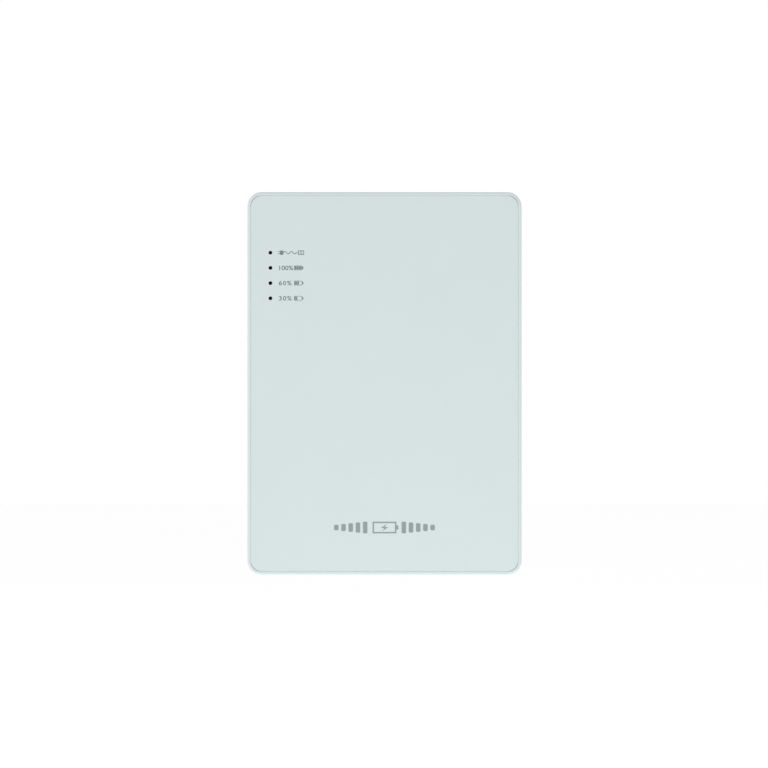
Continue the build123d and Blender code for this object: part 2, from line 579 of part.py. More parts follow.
# ================================================================ case screws and feet
with BuildPart() as case_screws:
    with BuildSketch(front(HEAD_SEAT)):
        with Locations(*CORNERS):
            Circle(SCREW_HEAD_R)
    extrude(amount=-SCREW_HEAD_H)
    fillet(case_screws.faces().filter_by(Axis.Y).sort_by(Axis.Y)[-4:].edges(), SCREW_HEAD_EDGE_R)
    with BuildSketch(front(HEAD_SEAT)):
        with Locations(*CORNERS):
            Circle(SCREW_R)
    extrude(amount=SCREW_L)
    screw_tips = case_screws.faces().filter_by(Axis.Y).sort_by(Axis.Y)[:4]
    chamfer(screw_tips.edges(), SCREW_TIP_L, SCREW_TIP_W)
    with BuildSketch(front(HEAD_SEAT - SCREW_HEAD_H)):
        with Locations(*CORNERS):
            Rectangle(CROSS_W, CROSS_SLOT)
            Rectangle(CROSS_SLOT, CROSS_W)
    extrude(amount=CROSS_H, mode=Mode.SUBTRACT)
keep(case_screws, "case_screws")

with BuildPart() as rubber_feet:
    with BuildSketch(front(FOOT_SINK)):
        with Locations(*FOOT_PLACES):
            Circle(FOOT_R)
    extrude(amount=-FOOT_T)
    fillet(rubber_feet.faces().filter_by(Axis.Y).sort_by(Axis.Y)[-4:].edges(), FOOT_EDGE_R)
keep(rubber_feet, "rubber_feet")

with BuildPart() as rating_label:
    with BuildSketch(front(LABEL_SINK)):
        with Locations((0, LABEL_Z)):
            RectangleRounded(LABEL_W, LABEL_H, LABEL_R)
    extrude(amount=-LABEL_T)
keep(rating_label, "rating_label")

# ================================================================ charge lights
with BuildPart() as light_guide:
    with BuildSketch(front(GUIDE_BACK)):
        with Locations((LIGHT_X, LIGHT_MID)):
            RectangleRounded(
                GUIDE_W, LED_STAKES[1][1] - LED_STAKES[0][1] - 2 * GUIDE_SETBACK, GUIDE_R
            )
    extrude(amount=GUIDE_T)
    with BuildSketch(front(COVER_IN)):
        with Locations(*[(LIGHT_X, z) for z in LIGHT_ZS]):
            Circle(LIGHT_R)
    extrude(amount=COVER_T - LIGHT_SINK)
keep(light_guide, "light_guide")

with BuildPart() as light_board:
    with BuildSketch(front(LED_BOARD_FACE - LED_BOARD_T)):
        with Locations((LIGHT_X, LIGHT_MID)):
            RectangleRounded(LED_BOARD_W, LED_BOARD_H, LED_BOARD_R)
        with Locations(*LED_STAKES):
            Circle(STAKE_R + STAKE_FIT, mode=Mode.SUBTRACT)
    extrude(amount=LED_BOARD_T)
keep(light_board, "light_board")

with BuildPart() as light_chips:
    with BuildSketch(front(LED_BOARD_FACE)):
        with Locations(*[(LIGHT_X, z) for z in LIGHT_ZS]):
            Rectangle(LED_W, LED_H)
    extrude(amount=LED_T)
keep(light_chips, "light_chips")

# ================================================================ cells and their brackets
for index, x in enumerate(CELL_XS):
    plus_up = index < CELL_COUNT // 2
    base = CELL_LOW if plus_up else CELL_HIGH
    way = 1 if plus_up else -1
    with BuildPart() as cell:
        with BuildSketch(Plane(origin=(x, -CELL_DEPTH, base), z_dir=(0, 0, way))):
            Circle(CELL_R)
        extrude(amount=CELL_L - CELL_BUTTON_H)
        fillet(cell.edges().filter_by(GeomType.CIRCLE), CELL_EDGE_R)
        groove = base + way * (CELL_L - CELL_GROOVE_DROP)
        with BuildSketch(Plane(origin=(x, -CELL_DEPTH, groove), z_dir=(0, 0, way))):
            Circle(CELL_R)
            Circle(CELL_R - CELL_GROOVE_D, mode=Mode.SUBTRACT)
        extrude(amount=CELL_GROOVE_W, mode=Mode.SUBTRACT)
        with BuildSketch(
            Plane(origin=(x, -CELL_DEPTH, base + way * (CELL_L - CELL_BUTTON_H)), z_dir=(0, 0, way))
        ):
            Circle(CELL_BUTTON_R)
        extrude(amount=CELL_BUTTON_H)
    keep(cell, f"cell_{index + 1}")

for name, face_z, way in (("cell_bracket_lower", CELL_LOW, -1), ("cell_bracket_upper", CELL_HIGH, 1)):
    with BuildPart() as bracket:
        with BuildSketch(Plane(origin=(0, 0, face_z - way * BRACKET_GRIP), z_dir=(0, 0, 1))):
            with Locations((PACK_X, -CELL_DEPTH)):
                RectangleRounded(PACK_W, BRACKET_DEPTH, BRACKET_R)
        extrude(amount=way * (BRACKET_GRIP + BRACKET_SKIN))
        with BuildSketch(Plane(origin=(0, 0, face_z - way * BRACKET_GRIP), z_dir=(0, 0, 1))):
            with Locations(*[(x, -CELL_DEPTH) for x in CELL_XS]):
                Circle(CELL_R + CELL_FIT)
        extrude(amount=way * BRACKET_GRIP, mode=Mode.SUBTRACT)
        with BuildSketch(Plane(origin=(0, 0, face_z), z_dir=(0, 0, 1))):
            with Locations(*[(x, -CELL_DEPTH) for x in CELL_XS]):
                Circle(CELL_R - BRACKET_WINDOW)
            with Locations((PACK_X, -CELL_DEPTH)):
                Rectangle(PACK_W, STRIP_W + 2 * STRIP_FIT)
        extrude(amount=way * BRACKET_SKIN, mode=Mode.SUBTRACT)
    keep(bracket, name)

STRIPS = (
    ("nickel_link", 0, 3, CELL_LOW, -1, None),
    ("nickel_positive", 0, 1, CELL_HIGH, 1, PLUS_DEPTH),
    ("nickel_negative", 2, 3, CELL_HIGH, 1, MINUS_DEPTH),
)
for name, first, last, face_z, way, tab_depth in STRIPS:
    with BuildPart() as strip:
        with BuildSketch(Plane(origin=(0, 0, face_z), z_dir=(0, 0, 1))):
            with Locations(((CELL_XS[first] + CELL_XS[last]) / 2, -CELL_DEPTH)):
                Rectangle(CELL_XS[last] - CELL_XS[first] + STRIP_W, STRIP_W)
        extrude(amount=way * STRIP_T)
        if tab_depth:
            with BuildSketch(Plane(origin=(0, 0, face_z), z_dir=(0, 0, 1))):
                with Locations((CELL_XS[last] + (STRIP_W + STRIP_T) / 2, -tab_depth)):
                    Rectangle(STRIP_T, STRIP_TAB_W)
            extrude(amount=STRIP_TAB)
    keep(strip, name)

with BuildPart() as cell_sheet:
    with BuildSketch(front(CELL_DEPTH + CELL_R + SHEET_GAP)):
        with Locations((PACK_X, CELL_MID)):
            RectangleRounded(
                PACK_W - 2 * SHEET_INSET, CELL_L - 2 * (BRACKET_GRIP + SHEET_END_GAP), SHEET_R
            )
    extrude(amount=SHEET_T)
keep(cell_sheet, "cell_sheet")

# ================================================================ protection board
with BuildPart() as guard_board:
    with BuildSketch(front(GUARD_BACK)):
        with Locations((GUARD_X, GUARD_Z)):
            Rectangle(GUARD_BOARD_W, GUARD_BOARD_H)
        with Locations(*GUARD_STAKES):
            Circle(STAKE_R + STAKE_FIT, mode=Mode.SUBTRACT)
    extrude(amount=GUARD_BOARD_T)
keep(guard_board, "guard_board")

with BuildPart() as guard_chips:
    with BuildSketch(front(GUARD_FACE)):
        with Locations(*[(GUARD_X, GUARD_Z + rise) for rise in FET_RISES]):
            Rectangle(FET_W, FET_L)
        with Locations((GUARD_X, GUARD_Z + GUARD_IC_RISE)):
            Rectangle(GUARD_IC_W, GUARD_IC_W)
    extrude(amount=GUARD_CHIP_T)
    chamfer(guard_chips.faces().filter_by(Axis.Y).sort_by(Axis.Y)[:3].edges(), CHIP_EDGE)
keep(guard_chips, "guard_chips")

# ================================================================ boards and their screws
with BuildPart() as output_board:
    with BuildSketch(front(OUT_BACK)):
        with Locations((0, (OUT_LOW + OUT_HIGH) / 2)):
            Rectangle(OUT_BOARD_W, OUT_BOARD_H)
        for x in (-(OUT_BOARD_W - OUT_NOTCH_W) / 2, (OUT_BOARD_W - OUT_NOTCH_W) / 2):
            with Locations((x, OUT_LOW + OUT_NOTCH_H / 2)):
                Rectangle(OUT_NOTCH_W, OUT_NOTCH_H, mode=Mode.SUBTRACT)
        with Locations(*OUT_SCREWS):
            Circle(BOARD_HOLE_R, mode=Mode.SUBTRACT)
    extrude(amount=BOARD_T)
keep(output_board, "output_board")

with BuildPart() as mains_board:
    with BuildSketch(front(MAINS_BACK)):
        with Locations(((MAINS_BOARD_LEFT + MAINS_BOARD_RIGHT) / 2, (MAINS_LOW + MAINS_HIGH) / 2)):
            Rectangle(MAINS_BOARD_RIGHT - MAINS_BOARD_LEFT, MAINS_BOARD_H)
        with Locations(*MAINS_SCREWS):
            Circle(BOARD_HOLE_R, mode=Mode.SUBTRACT)
    extrude(amount=BOARD_T)
keep(mains_board, "mains_board")

with BuildPart() as board_screws:
    for places, face in ((OUT_SCREWS, OUT_FACE), (MAINS_SCREWS, MAINS_FACE)):
        with BuildSketch(front(face)):
            with Locations(*places):
                Circle(BOARD_SCREW_HEAD_R)
        extrude(amount=BOARD_SCREW_HEAD_H)
        with BuildSketch(front(face)):
            with Locations(*places):
                Circle(BOARD_SCREW_R)
        extrude(amount=-BOARD_SCREW_L)
        with BuildSketch(front(face + BOARD_SCREW_HEAD_H)):
            with Locations(*places):
                Rectangle(BOARD_CROSS_W, BOARD_CROSS_SLOT)
                Rectangle(BOARD_CROSS_SLOT, BOARD_CROSS_W)
        extrude(amount=-BOARD_CROSS_H, mode=Mode.SUBTRACT)
keep(board_screws, "board_screws")

# ================================================================ USB socket
with BuildPart() as usb_shell:
    with BuildSketch(end(SOCKET_SINK)):
        with Locations((USB_X, OUT_FACE + USB_H / 2)):
            RectangleRounded(USB_W, USB_H, USB_R)
    extrude(amount=-USB_L)
    with BuildSketch(end(SOCKET_SINK)):
        with Locations((USB_X, OUT_FACE + USB_H / 2)):
            Rectangle(USB_W - 2 * USB_SHEET, USB_H - 2 * USB_SHEET)
    extrude(amount=-(USB_L - USB_SHEET), mode=Mode.SUBTRACT)
keep(usb_shell, "usb_shell")

with BuildPart() as usb_tongue:
    with BuildSketch(end(SOCKET_SINK + USB_L - USB_SHEET)):
        with Locations((USB_X, OUT_FACE + USB_H / 2)):
            Rectangle(USB_W - 2 * USB_SHEET, USB_H - 2 * USB_SHEET)
    extrude(amount=USB_ROOT)
    with BuildSketch(end(SOCKET_SINK + USB_L - USB_SHEET - USB_ROOT)):
        with Locations((USB_X, OUT_FACE + USB_H - USB_SHEET - USB_TONGUE_GAP - USB_TONGUE_T / 2)):
            Rectangle(USB_TONGUE_W, USB_TONGUE_T)
    extrude(amount=USB_L - USB_SHEET - USB_ROOT - USB_TONGUE_SINK)
keep(usb_tongue, "usb_tongue")

# ================================================================ output jacks
JACK_DEPTH = OUT_FACE + JACK_AXIS_RISE
for name, x in (("dc_jack_9v", JACK_9V_X), ("dc_jack_12v", JACK_12V_X)):
    with BuildPart() as jack:
        with BuildSketch(end(SOCKET_SINK)):
            with Locations((x, OUT_FACE + JACK_H / 2)):
                RectangleRounded(JACK_W, JACK_H, JACK_EDGE_R)
        extrude(amount=-JACK_L)
        with BuildSketch(end(SOCKET_SINK)):
            with Locations((x, JACK_DEPTH)):
                Circle(JACK_BORE_R)
        extrude(amount=-JACK_BORE_L, mode=Mode.SUBTRACT)
        # the round nose is stepped back from the square block behind it
        with BuildSketch(end(SOCKET_SINK)):
            with Locations((x, JACK_DEPTH)):
                Rectangle(3 * JACK_W, 3 * JACK_H)
                Circle(JACK_W / 2, mode=Mode.SUBTRACT)
        extrude(amount=-JACK_STEP, mode=Mode.SUBTRACT)
    keep(jack, name)

with BuildPart() as dc_pins:
    with BuildSketch(end(SOCKET_SINK + JACK_BORE_L)):
        with Locations((JACK_9V_X, JACK_DEPTH), (JACK_12V_X, JACK_DEPTH)):
            Circle(JACK_PIN_R)
    extrude(amount=JACK_BORE_L - JACK_PIN_SINK)
    fillet(dc_pins.faces().filter_by(Axis.Z).sort_by(Axis.Z)[:2].edges(), JACK_PIN_EDGE_R)
keep(dc_pins, "dc_pins")

# ================================================================ network jacks
NET_ROOF = OUT_FACE + NET_CAVITY_RISE + NET_CAVITY_H
for name, x in (("poe_jack", POE_X), ("lan_jack", LAN_X)):
    with BuildPart() as jack:
        with BuildSketch(end(SOCKET_SINK)):
            with Locations((x, OUT_FACE + NET_H / 2)):
                RectangleRounded(NET_W, NET_H, NET_R)
        extrude(amount=-NET_L)
        with BuildSketch(end(SOCKET_SINK)):
            with Locations((x, NET_ROOF - NET_CAVITY_H / 2)):
                Rectangle(NET_CAVITY_W, NET_CAVITY_H)
            # two steps for the plug's latch
            with Locations((x, OUT_FACE + NET_CAVITY_RISE - NET_LATCH_H / 2)):
                Rectangle(NET_LATCH_W, NET_LATCH_H)
            with Locations((x, OUT_FACE + NET_CAVITY_RISE - NET_LATCH_H)):
                Rectangle(NET_TAB_W, 2 * NET_TAB_H)
        extrude(amount=-NET_CAVITY_L, mode=Mode.SUBTRACT)
    keep(jack, name)

with BuildPart() as net_contacts:
    for jack_x in (POE_X, LAN_X):
        for index in range(NET_WIRES):
            x = jack_x + NET_WIRE_PITCH * (index - (NET_WIRES - 1) / 2)
            with BuildSketch(Plane(origin=(x, 0, SOCKET_FACE), x_dir=(0, 0, 1), z_dir=(1, 0, 0))):
                with BuildLine():
                    Polyline(
                        (NET_WIRE_START, NET_ROOF),
                        (NET_WIRE_BEND, NET_ROOF),
                        (NET_WIRE_END, NET_ROOF - NET_WIRE_DROP),
                        (NET_WIRE_END, NET_ROOF - NET_WIRE_DROP - NET_WIRE_W),
                        (NET_WIRE_BEND, NET_ROOF - NET_WIRE_W),
                        (NET_WIRE_START, NET_ROOF - NET_WIRE_W),
                        close=True,
                    )
                make_face()
            extrude(amount=NET_WIRE_W / 2, both=True)
keep(net_contacts, "net_contacts")

# ================================================================ voltage selector
SELECTOR_FACE = WALL + SELECTOR_GAP
SELECTOR_DEPTH = OUT_FACE + SELECTOR_H / 2
with BuildPart() as selector_body:
    with BuildSketch(end(SELECTOR_FACE)):
        with Locations((SELECTOR_X, SELECTOR_DEPTH)):
            Rectangle(SELECTOR_W, SELECTOR_H)
    extrude(amount=-SELECTOR_L)
    with BuildSketch(end(SELECTOR_FACE)):
        with Locations((SELECTOR_X, SELECTOR_DEPTH)):
            Rectangle(KNOB_W + SELECTOR_TRAVEL + 2 * KNOB_GAP, KNOB_W + 2 * KNOB_GAP)
    extrude(amount=-SELECTOR_SKIN, mode=Mode.SUBTRACT)
    with BuildSketch(end(SELECTOR_FACE + SELECTOR_SKIN)):
        with Locations((SELECTOR_X, SELECTOR_DEPTH)):
            Rectangle(CARRIAGE_W + SELECTOR_TRAVEL + 2 * KNOB_GAP, CARRIAGE_H + 2 * KNOB_GAP)
    extrude(amount=-(CARRIAGE_T + 2 * KNOB_GAP), mode=Mode.SUBTRACT)
keep(selector_body, "selector_body")

KNOB_X = SELECTOR_X - SELECTOR_TRAVEL / 2
with BuildPart() as selector_knob:
    with BuildSketch(end(KNOB_SINK)):
        with Locations((KNOB_X, SELECTOR_DEPTH)):
            Rectangle(KNOB_W, KNOB_W)
    extrude(amount=-(SELECTOR_FACE + SELECTOR_SKIN + KNOB_GAP - KNOB_SINK))
    chamfer(selector_knob.faces().sort_by(Axis.Z)[0].edges(), KNOB_EDGE)
    with BuildSketch(end(SELECTOR_FACE + SELECTOR_SKIN + KNOB_GAP)):
        with Locations((KNOB_X, SELECTOR_DEPTH)):
            Rectangle(CARRIAGE_W, CARRIAGE_H)
    extrude(amount=-CARRIAGE_T)
keep(selector_knob, "selector_knob")

# ================================================================ parts on the output board
COIL_Z = OUT_LOW + COIL_RISE
CAN_Z = OUT_LOW + CAN_RISE
CHIP_PLACES = [(x, COIL_Z) for x in CONVERTER_XS] + [(SWITCH_CHIP_X, CAN_Z)]

with BuildPart() as inductors:
    with BuildSketch(front(OUT_FACE)):
        with Locations(*[(x, COIL_Z) for x in COIL_XS]):
            RectangleRounded(COIL_W, COIL_W, COIL_R)
    extrude(amount=COIL_H)
    chamfer(inductors.faces().filter_by(Axis.Y).sort_by(Axis.Y)[:3].edges(), COIL_EDGE)
keep(inductors, "inductors")

with BuildPart() as converter_chips:
    with BuildSketch(front(OUT_FACE)):
        with Locations(*CHIP_PLACES):
            Rectangle(CONVERTER_W, CONVERTER_L)
    extrude(amount=CONVERTER_T)
    chamfer(converter_chips.faces().filter_by(Axis.Y).sort_by(Axis.Y)[:4].edges(), CHIP_EDGE)
keep(converter_chips, "converter_chips")

with BuildPart() as board_capacitors:
    with BuildSketch(front(OUT_FACE)):
        with Locations(*[(x, CAN_Z) for x in CAN_XS]):
            Circle(CAN_R)
    extrude(amount=CAN_H)
    fillet(board_capacitors.faces().filter_by(Axis.Y).sort_by(Axis.Y)[:4].edges(), CAN_EDGE_R)
keep(board_capacitors, "board_capacitors")

# ================================================================ wire headers
SUPPLY_FROM = (MAINS_BOARD_LEFT + SUPPLY_FROM_INSET[0], MAINS_LOW + SUPPLY_FROM_INSET[1])
SUPPLY_TO = (PACK_RIGHT + SUPPLY_TO_INSET[0], OUT_HIGH - SUPPLY_TO_INSET[1])
BATTERY_TO = (SUPPLY_TO[0] + BATTERY_STEP, SUPPLY_TO[1])
SWITCH_TO = (OUT_BOARD_W / 2 - SWITCH_TO_INSET[0], OUT_HIGH - SWITCH_TO_INSET[1])
LIGHTS_TO = (LIGHTS_TO_INSET[0] - OUT_BOARD_W / 2, OUT_HIGH - LIGHTS_TO_INSET[1])
LIGHTS_FROM = (LEFT + WALL + FIT_GAP + HEADER_W / 2, LIGHT_MID - LIGHTS_FROM_DROP)
HEADERS = (
    (SUPPLY_FROM, MAINS_FACE),
    (SUPPLY_TO, OUT_FACE),
    (BATTERY_TO, OUT_FACE),
    (SWITCH_TO, OUT_FACE),
    (LIGHTS_TO, OUT_FACE),
    (LIGHTS_FROM, LED_BOARD_FACE - LED_BOARD_T - HEADER_H),
)
with BuildPart() as wire_headers:
    for place, depth in HEADERS:
        with BuildSketch(front(depth)):
            with Locations(place):
                Rectangle(HEADER_W, HEADER_L)
        extrude(amount=HEADER_H)
keep(wire_headers, "wire_headers")

with BuildPart() as guard_pads:
    with BuildSketch(front(GUARD_FACE)):
        with Locations((GUARD_X, GUARD_Z)):
            with GridLocations(PAD_PITCH, GUARD_BOARD_H - PAD_L - 2 * PAD_INSET, 2, 2):
                Rectangle(PAD_W, PAD_L)
    extrude(amount=PAD_H)
keep(guard_pads, "guard_pads")

# ================================================================ mains inlet
INLET_PINS = [(INLET_Z + rise, INLET_DEPTH) for rise in (-INLET_PIN_PITCH / 2, INLET_PIN_PITCH / 2)]
with BuildPart() as mains_inlet:
    with BuildSketch(side(INLET_SINK)):
        with Locations((INLET_Z, INLET_DEPTH)):
            RectangleRounded(INLET_L, INLET_H, INLET_R)
    extrude(amount=-INLET_REACH)
    with BuildSketch(side(INLET_SINK)):
        with Locations(*INLET_PINS):
            Circle(INLET_LOBE_R)
        with Locations((INLET_Z, INLET_DEPTH)):
            Rectangle(INLET_PIN_PITCH, INLET_WAIST)
    extrude(amount=-INLET_RECESS, mode=Mode.SUBTRACT)
    with BuildSketch(side(INLET_SINK + INLET_RECESS)):
        with Locations(*INLET_PINS):
            Circle(INLET_PIN_R + THREAD_FIT)
    extrude(amount=-(INLET_REACH - INLET_RECESS), mode=Mode.SUBTRACT)
keep(mains_inlet, "mains_inlet")

with BuildPart() as inlet_pins:
    with BuildSketch(side(INLET_SINK + INLET_PIN_SINK)):
        with Locations(*INLET_PINS):
            Circle(INLET_PIN_R)
    extrude(amount=-(INLET_REACH - INLET_PIN_SINK + INLET_TAIL))
    fillet(inlet_pins.faces().filter_by(Axis.X).sort_by(Axis.X)[-2:].edges(), INLET_PIN_EDGE_R)
keep(inlet_pins, "inlet_pins")

# ================================================================ parts on the mains board
with BuildPart() as fuse:
    with BuildSketch(front(MAINS_FACE)):
        with Locations(on_mains(*FUSE_AT)):
            Circle(FUSE_R)
    extrude(amount=FUSE_H)
    fillet(fuse.faces().sort_by(Axis.Y)[0].edges(), FUSE_EDGE_R)
keep(fuse, "fuse")

with BuildPart() as choke_core:
    with BuildSketch(front(MAINS_FACE + CHOKE_LIFT)):
        with Locations(on_mains(*CHOKE_AT)):
            Circle(CHOKE_R)
            Circle(CHOKE_BORE_R, mode=Mode.SUBTRACT)
    extrude(amount=CHOKE_T)
keep(choke_core, "choke_core")

with BuildPart() as choke_windings:
    with BuildSketch(front(MAINS_FACE)):
        with Locations(on_mains(*CHOKE_AT)):
            Circle(CHOKE_R + CHOKE_WIRE)
            Circle(CHOKE_BORE_R - CHOKE_WIRE, mode=Mode.SUBTRACT)
            Rectangle(CHOKE_SPLIT, 3 * CHOKE_R, mode=Mode.SUBTRACT)
    extrude(amount=CHOKE_T + 2 * CHOKE_LIFT)
    with BuildSketch(front(MAINS_FACE + CHOKE_LIFT)):
        with Locations(on_mains(*CHOKE_AT)):
            Circle(CHOKE_R)
            Circle(CHOKE_BORE_R, mode=Mode.SUBTRACT)
    extrude(amount=CHOKE_T, mode=Mode.SUBTRACT)
keep(choke_windings, "choke_windings")

with BuildPart() as safety_capacitor:
    with BuildSketch(front(MAINS_FACE)):
        with Locations(on_mains(*SAFETY_AT)):
            RectangleRounded(SAFETY_W, SAFETY_L, SAFETY_R)
    extrude(amount=SAFETY_H)
keep(safety_capacitor, "safety_capacitor")

with BuildPart() as bridge_rectifier:
    with BuildSketch(front(MAINS_FACE)):
        with Locations(on_mains(*BRIDGE_AT)):
            Rectangle(BRIDGE_W, BRIDGE_L)
    extrude(amount=BRIDGE_H)
    chamfer(bridge_rectifier.faces().sort_by(Axis.Y)[0].edges(), BRIDGE_EDGE)
keep(bridge_rectifier, "bridge_rectifier")

BULK_X, BULK_LOW = on_mains(*BULK_AT)
BULK_AXIS = Plane(origin=(BULK_X, -(MAINS_FACE + BULK_R), BULK_LOW), z_dir=(0, 0, 1))
with BuildPart() as bulk_capacitor:
    with BuildSketch(BULK_AXIS):
        Circle(BULK_R)
    extrude(amount=BULK_L)
    fillet(bulk_capacitor.edges().filter_by(GeomType.CIRCLE), BULK_EDGE_R)
    with BuildSketch(BULK_AXIS.offset(BULK_GROOVE_RISE)):
        Circle(BULK_R)
        Circle(BULK_R - BULK_GROOVE_D, mode=Mode.SUBTRACT)
    extrude(amount=BULK_GROOVE_W, mode=Mode.SUBTRACT)
    # flat where its saddle of glue meets the board
    with BuildSketch(front(MAINS_FACE)):
        with Locations((BULK_X, BULK_LOW + BULK_L / 2)):
            Rectangle(BULK_SADDLE_W, BULK_SADDLE_L)
    extrude(amount=BULK_SADDLE_H)
keep(bulk_capacitor, "bulk_capacitor")

CORE_PLACE = on_mains(*CORE_AT)
CORE_DEPTH = MAINS_FACE + CORE_LIFT
WINDOW_L = CORE_L - 2 * CORE_BAR
with BuildPart() as transformer_core:
    with BuildSketch(front(CORE_DEPTH - CORE_T / 2)):
        with Locations(CORE_PLACE):
            Rectangle(CORE_W, CORE_L)
            Rectangle(CORE_W - 2 * CORE_SIDE, WINDOW_L, mode=Mode.SUBTRACT)
            Rectangle(CORE_LEG, CORE_L)
    extrude(amount=CORE_T)
keep(transformer_core, "transformer_core")

CORE_AXIS = Plane(origin=(CORE_PLACE[0], -CORE_DEPTH, CORE_PLACE[1] - WINDOW_L / 2), z_dir=(0, 0, 1))
with BuildPart() as transformer_bobbin:
    # two cheeks that stand on the board
    with BuildSketch(CORE_AXIS):
        with Locations((0, CORE_LIFT - BOBBIN_H / 2)):
            Rectangle(BOBBIN_W, BOBBIN_H)
    extrude(amount=WINDOW_L)
    with BuildSketch(CORE_AXIS.offset(BOBBIN_T)):
        Rectangle(3 * BOBBIN_W, 3 * BOBBIN_H)
        Rectangle(CORE_LEG + 2 * BOBBIN_T, CORE_T + 2 * BOBBIN_T, mode=Mode.SUBTRACT)
    extrude(amount=WINDOW_L - 2 * BOBBIN_T, mode=Mode.SUBTRACT)
    with BuildSketch(CORE_AXIS):
        Rectangle(CORE_LEG, CORE_T)
    extrude(amount=WINDOW_L, mode=Mode.SUBTRACT)
keep(transformer_bobbin, "transformer_bobbin")

with BuildPart() as transformer_winding:
    with BuildSketch(CORE_AXIS.offset(BOBBIN_T)):
        RectangleRounded(BOBBIN_W - 2 * WINDING_INSET, WINDING_H, WINDING_R)
        Rectangle(CORE_LEG + 2 * BOBBIN_T, CORE_T + 2 * BOBBIN_T, mode=Mode.SUBTRACT)
    extrude(amount=WINDOW_L - 2 * BOBBIN_T)
keep(transformer_winding, "transformer_winding")

SINK_X, SINK_Z = on_mains(*SINK_AT)
with BuildPart() as heat_sink:
    with BuildSketch(front(MAINS_FACE)):
        with Locations((SINK_X, SINK_Z + SINK_T / 2)):
            Rectangle(SINK_W, SINK_T)
        with Locations((SINK_X, SINK_Z + SINK_T + FIN_L / 2)):
            with GridLocations(FIN_PITCH, 0, FIN_COUNT, 1):
                Rectangle(FIN_T, FIN_L)
    extrude(amount=SINK_H)
keep(heat_sink, "heat_sink")

with BuildPart() as power_transistor:
    with BuildSketch(front(MAINS_FACE + TRANSISTOR_LIFT)):
        with Locations((SINK_X, SINK_Z - TRANSISTOR_T / 2)):
            Rectangle(TRANSISTOR_W, TRANSISTOR_T)
    extrude(amount=TRANSISTOR_L)
    chamfer(power_transistor.faces().sort_by(Axis.Y)[0].edges(), TRANSISTOR_EDGE)
    with BuildSketch(front(MAINS_FACE)):
        with Locations((SINK_X, SINK_Z - TRANSISTOR_T / 2)):
            with GridLocations(LEG_PITCH, 0, 3, 1):
                Rectangle(LEG_W, LEG_T)
    extrude(amount=TRANSISTOR_LIFT)
keep(power_transistor, "power_transistor")

with BuildPart() as output_capacitors:
    with BuildSketch(front(MAINS_FACE)):
        with Locations(*[on_mains(OUTPUT_CAN_INSET, rise) for rise in OUTPUT_CAN_RISES]):
            Circle(OUTPUT_CAN_R)
    extrude(amount=OUTPUT_CAN_H)
    fillet(output_capacitors.faces().filter_by(Axis.Y).sort_by(Axis.Y)[:2].edges(), OUTPUT_CAN_EDGE_R)
keep(output_capacitors, "output_capacitors")

# ================================================================ power rocker
PIVOT = (RIGHT - PIVOT_INSET, -ROCKER_DEPTH, ROCKER_Z)
PIVOT_PLANE = Plane(origin=PIVOT, x_dir=(0, 0, 1), z_dir=(0, 1, 0))
OFF_WAY = (sin(radians(ROCKER_TILT)), 0, cos(radians(ROCKER_TILT)))  # along the rocker, switched off
OFF_PLANE = Plane(origin=PIVOT, x_dir=OFF_WAY, z_dir=(0, 1, 0))
with BuildPart() as rocker_housing:
    with BuildSketch(side(ROCKER_RECESS)):
        with Locations((ROCKER_Z, ROCKER_DEPTH)):
            RectangleRounded(BEZEL_L, BEZEL_W, BEZEL_R)
    extrude(amount=-BEZEL_T)
    with BuildSketch(side(ROCKER_POCKET)):
        with Locations((ROCKER_Z, ROCKER_DEPTH)):
            Rectangle(BEZEL_BODY_L, BEZEL_BODY_W)
    extrude(amount=-(HOUSING_BACK - ROCKER_POCKET))
    with BuildSketch(side(ROCKER_RECESS)):
        with Locations((ROCKER_Z, ROCKER_DEPTH)):
            Rectangle(BEZEL_CAVITY_L, BEZEL_CAVITY_W)
    extrude(amount=-(PIVOT_INSET + ROCKER_ROOM - ROCKER_RECESS), mode=Mode.SUBTRACT)
    with BuildSketch(PIVOT_PLANE):
        Circle(PIVOT_R + PIVOT_FIT)
    extrude(amount=BEZEL_BODY_W / 2, both=True, mode=Mode.SUBTRACT)
keep(rocker_housing, "rocker_housing")

CREST = sqrt(ROCKER_R**2 - ROCKER_END_RISE**2)
HEEL = sqrt(ROCKER_R**2 - ROCKER_BELLY**2)
with BuildPart() as power_rocker:
    with BuildSketch(OFF_PLANE) as rocker_profile:
        with BuildLine():
            ThreePointArc((-CREST, ROCKER_END_RISE), (0, ROCKER_VALLEY_RISE), (CREST, ROCKER_END_RISE))
            ThreePointArc((CREST, ROCKER_END_RISE), (ROCKER_R, 0), (HEEL, -ROCKER_BELLY))
            Line((HEEL, -ROCKER_BELLY), (-HEEL, -ROCKER_BELLY))
            ThreePointArc((-HEEL, -ROCKER_BELLY), (-ROCKER_R, 0), (-CREST, ROCKER_END_RISE))
        make_face()
        fillet(rocker_profile.vertices().sort_by(Axis.Y)[-2:], ROCKER_TIP_R)
    extrude(amount=ROCKER_HALF_W, both=True)
    with BuildSketch(PIVOT_PLANE):
        Circle(PIVOT_R)
    extrude(amount=ROCKER_HALF_W + PIVOT_L, both=True)
keep(power_rocker, "power_rocker")

with BuildPart() as rocker_terminals:
    with BuildSketch(side(HOUSING_BACK)):
        for z in (ROCKER_Z - TAB_PITCH / 2, ROCKER_Z + TAB_PITCH / 2):
            with Locations((z, ROCKER_DEPTH)):
                Rectangle(TAB_T, TAB_W)
    extrude(amount=-TAB_L)
keep(rocker_terminals, "rocker_terminals")


# ================================================================ wiring
def bend_radii(points, room):
    """The bend at each inner point of a route: as large as its two runs and the room allow."""
    radii = []
    for before, here, after in zip(points, points[1:], points[2:]):
        arriving = Vector(*here) - Vector(*before)
        leaving = Vector(*after) - Vector(*here)
        half_turn = radians(arriving.get_angle(leaving) / 2)
        radii.append(min(room, BEND_SHARE * min(arriving.length, leaving.length) / tan(half_turn)))
    return radii


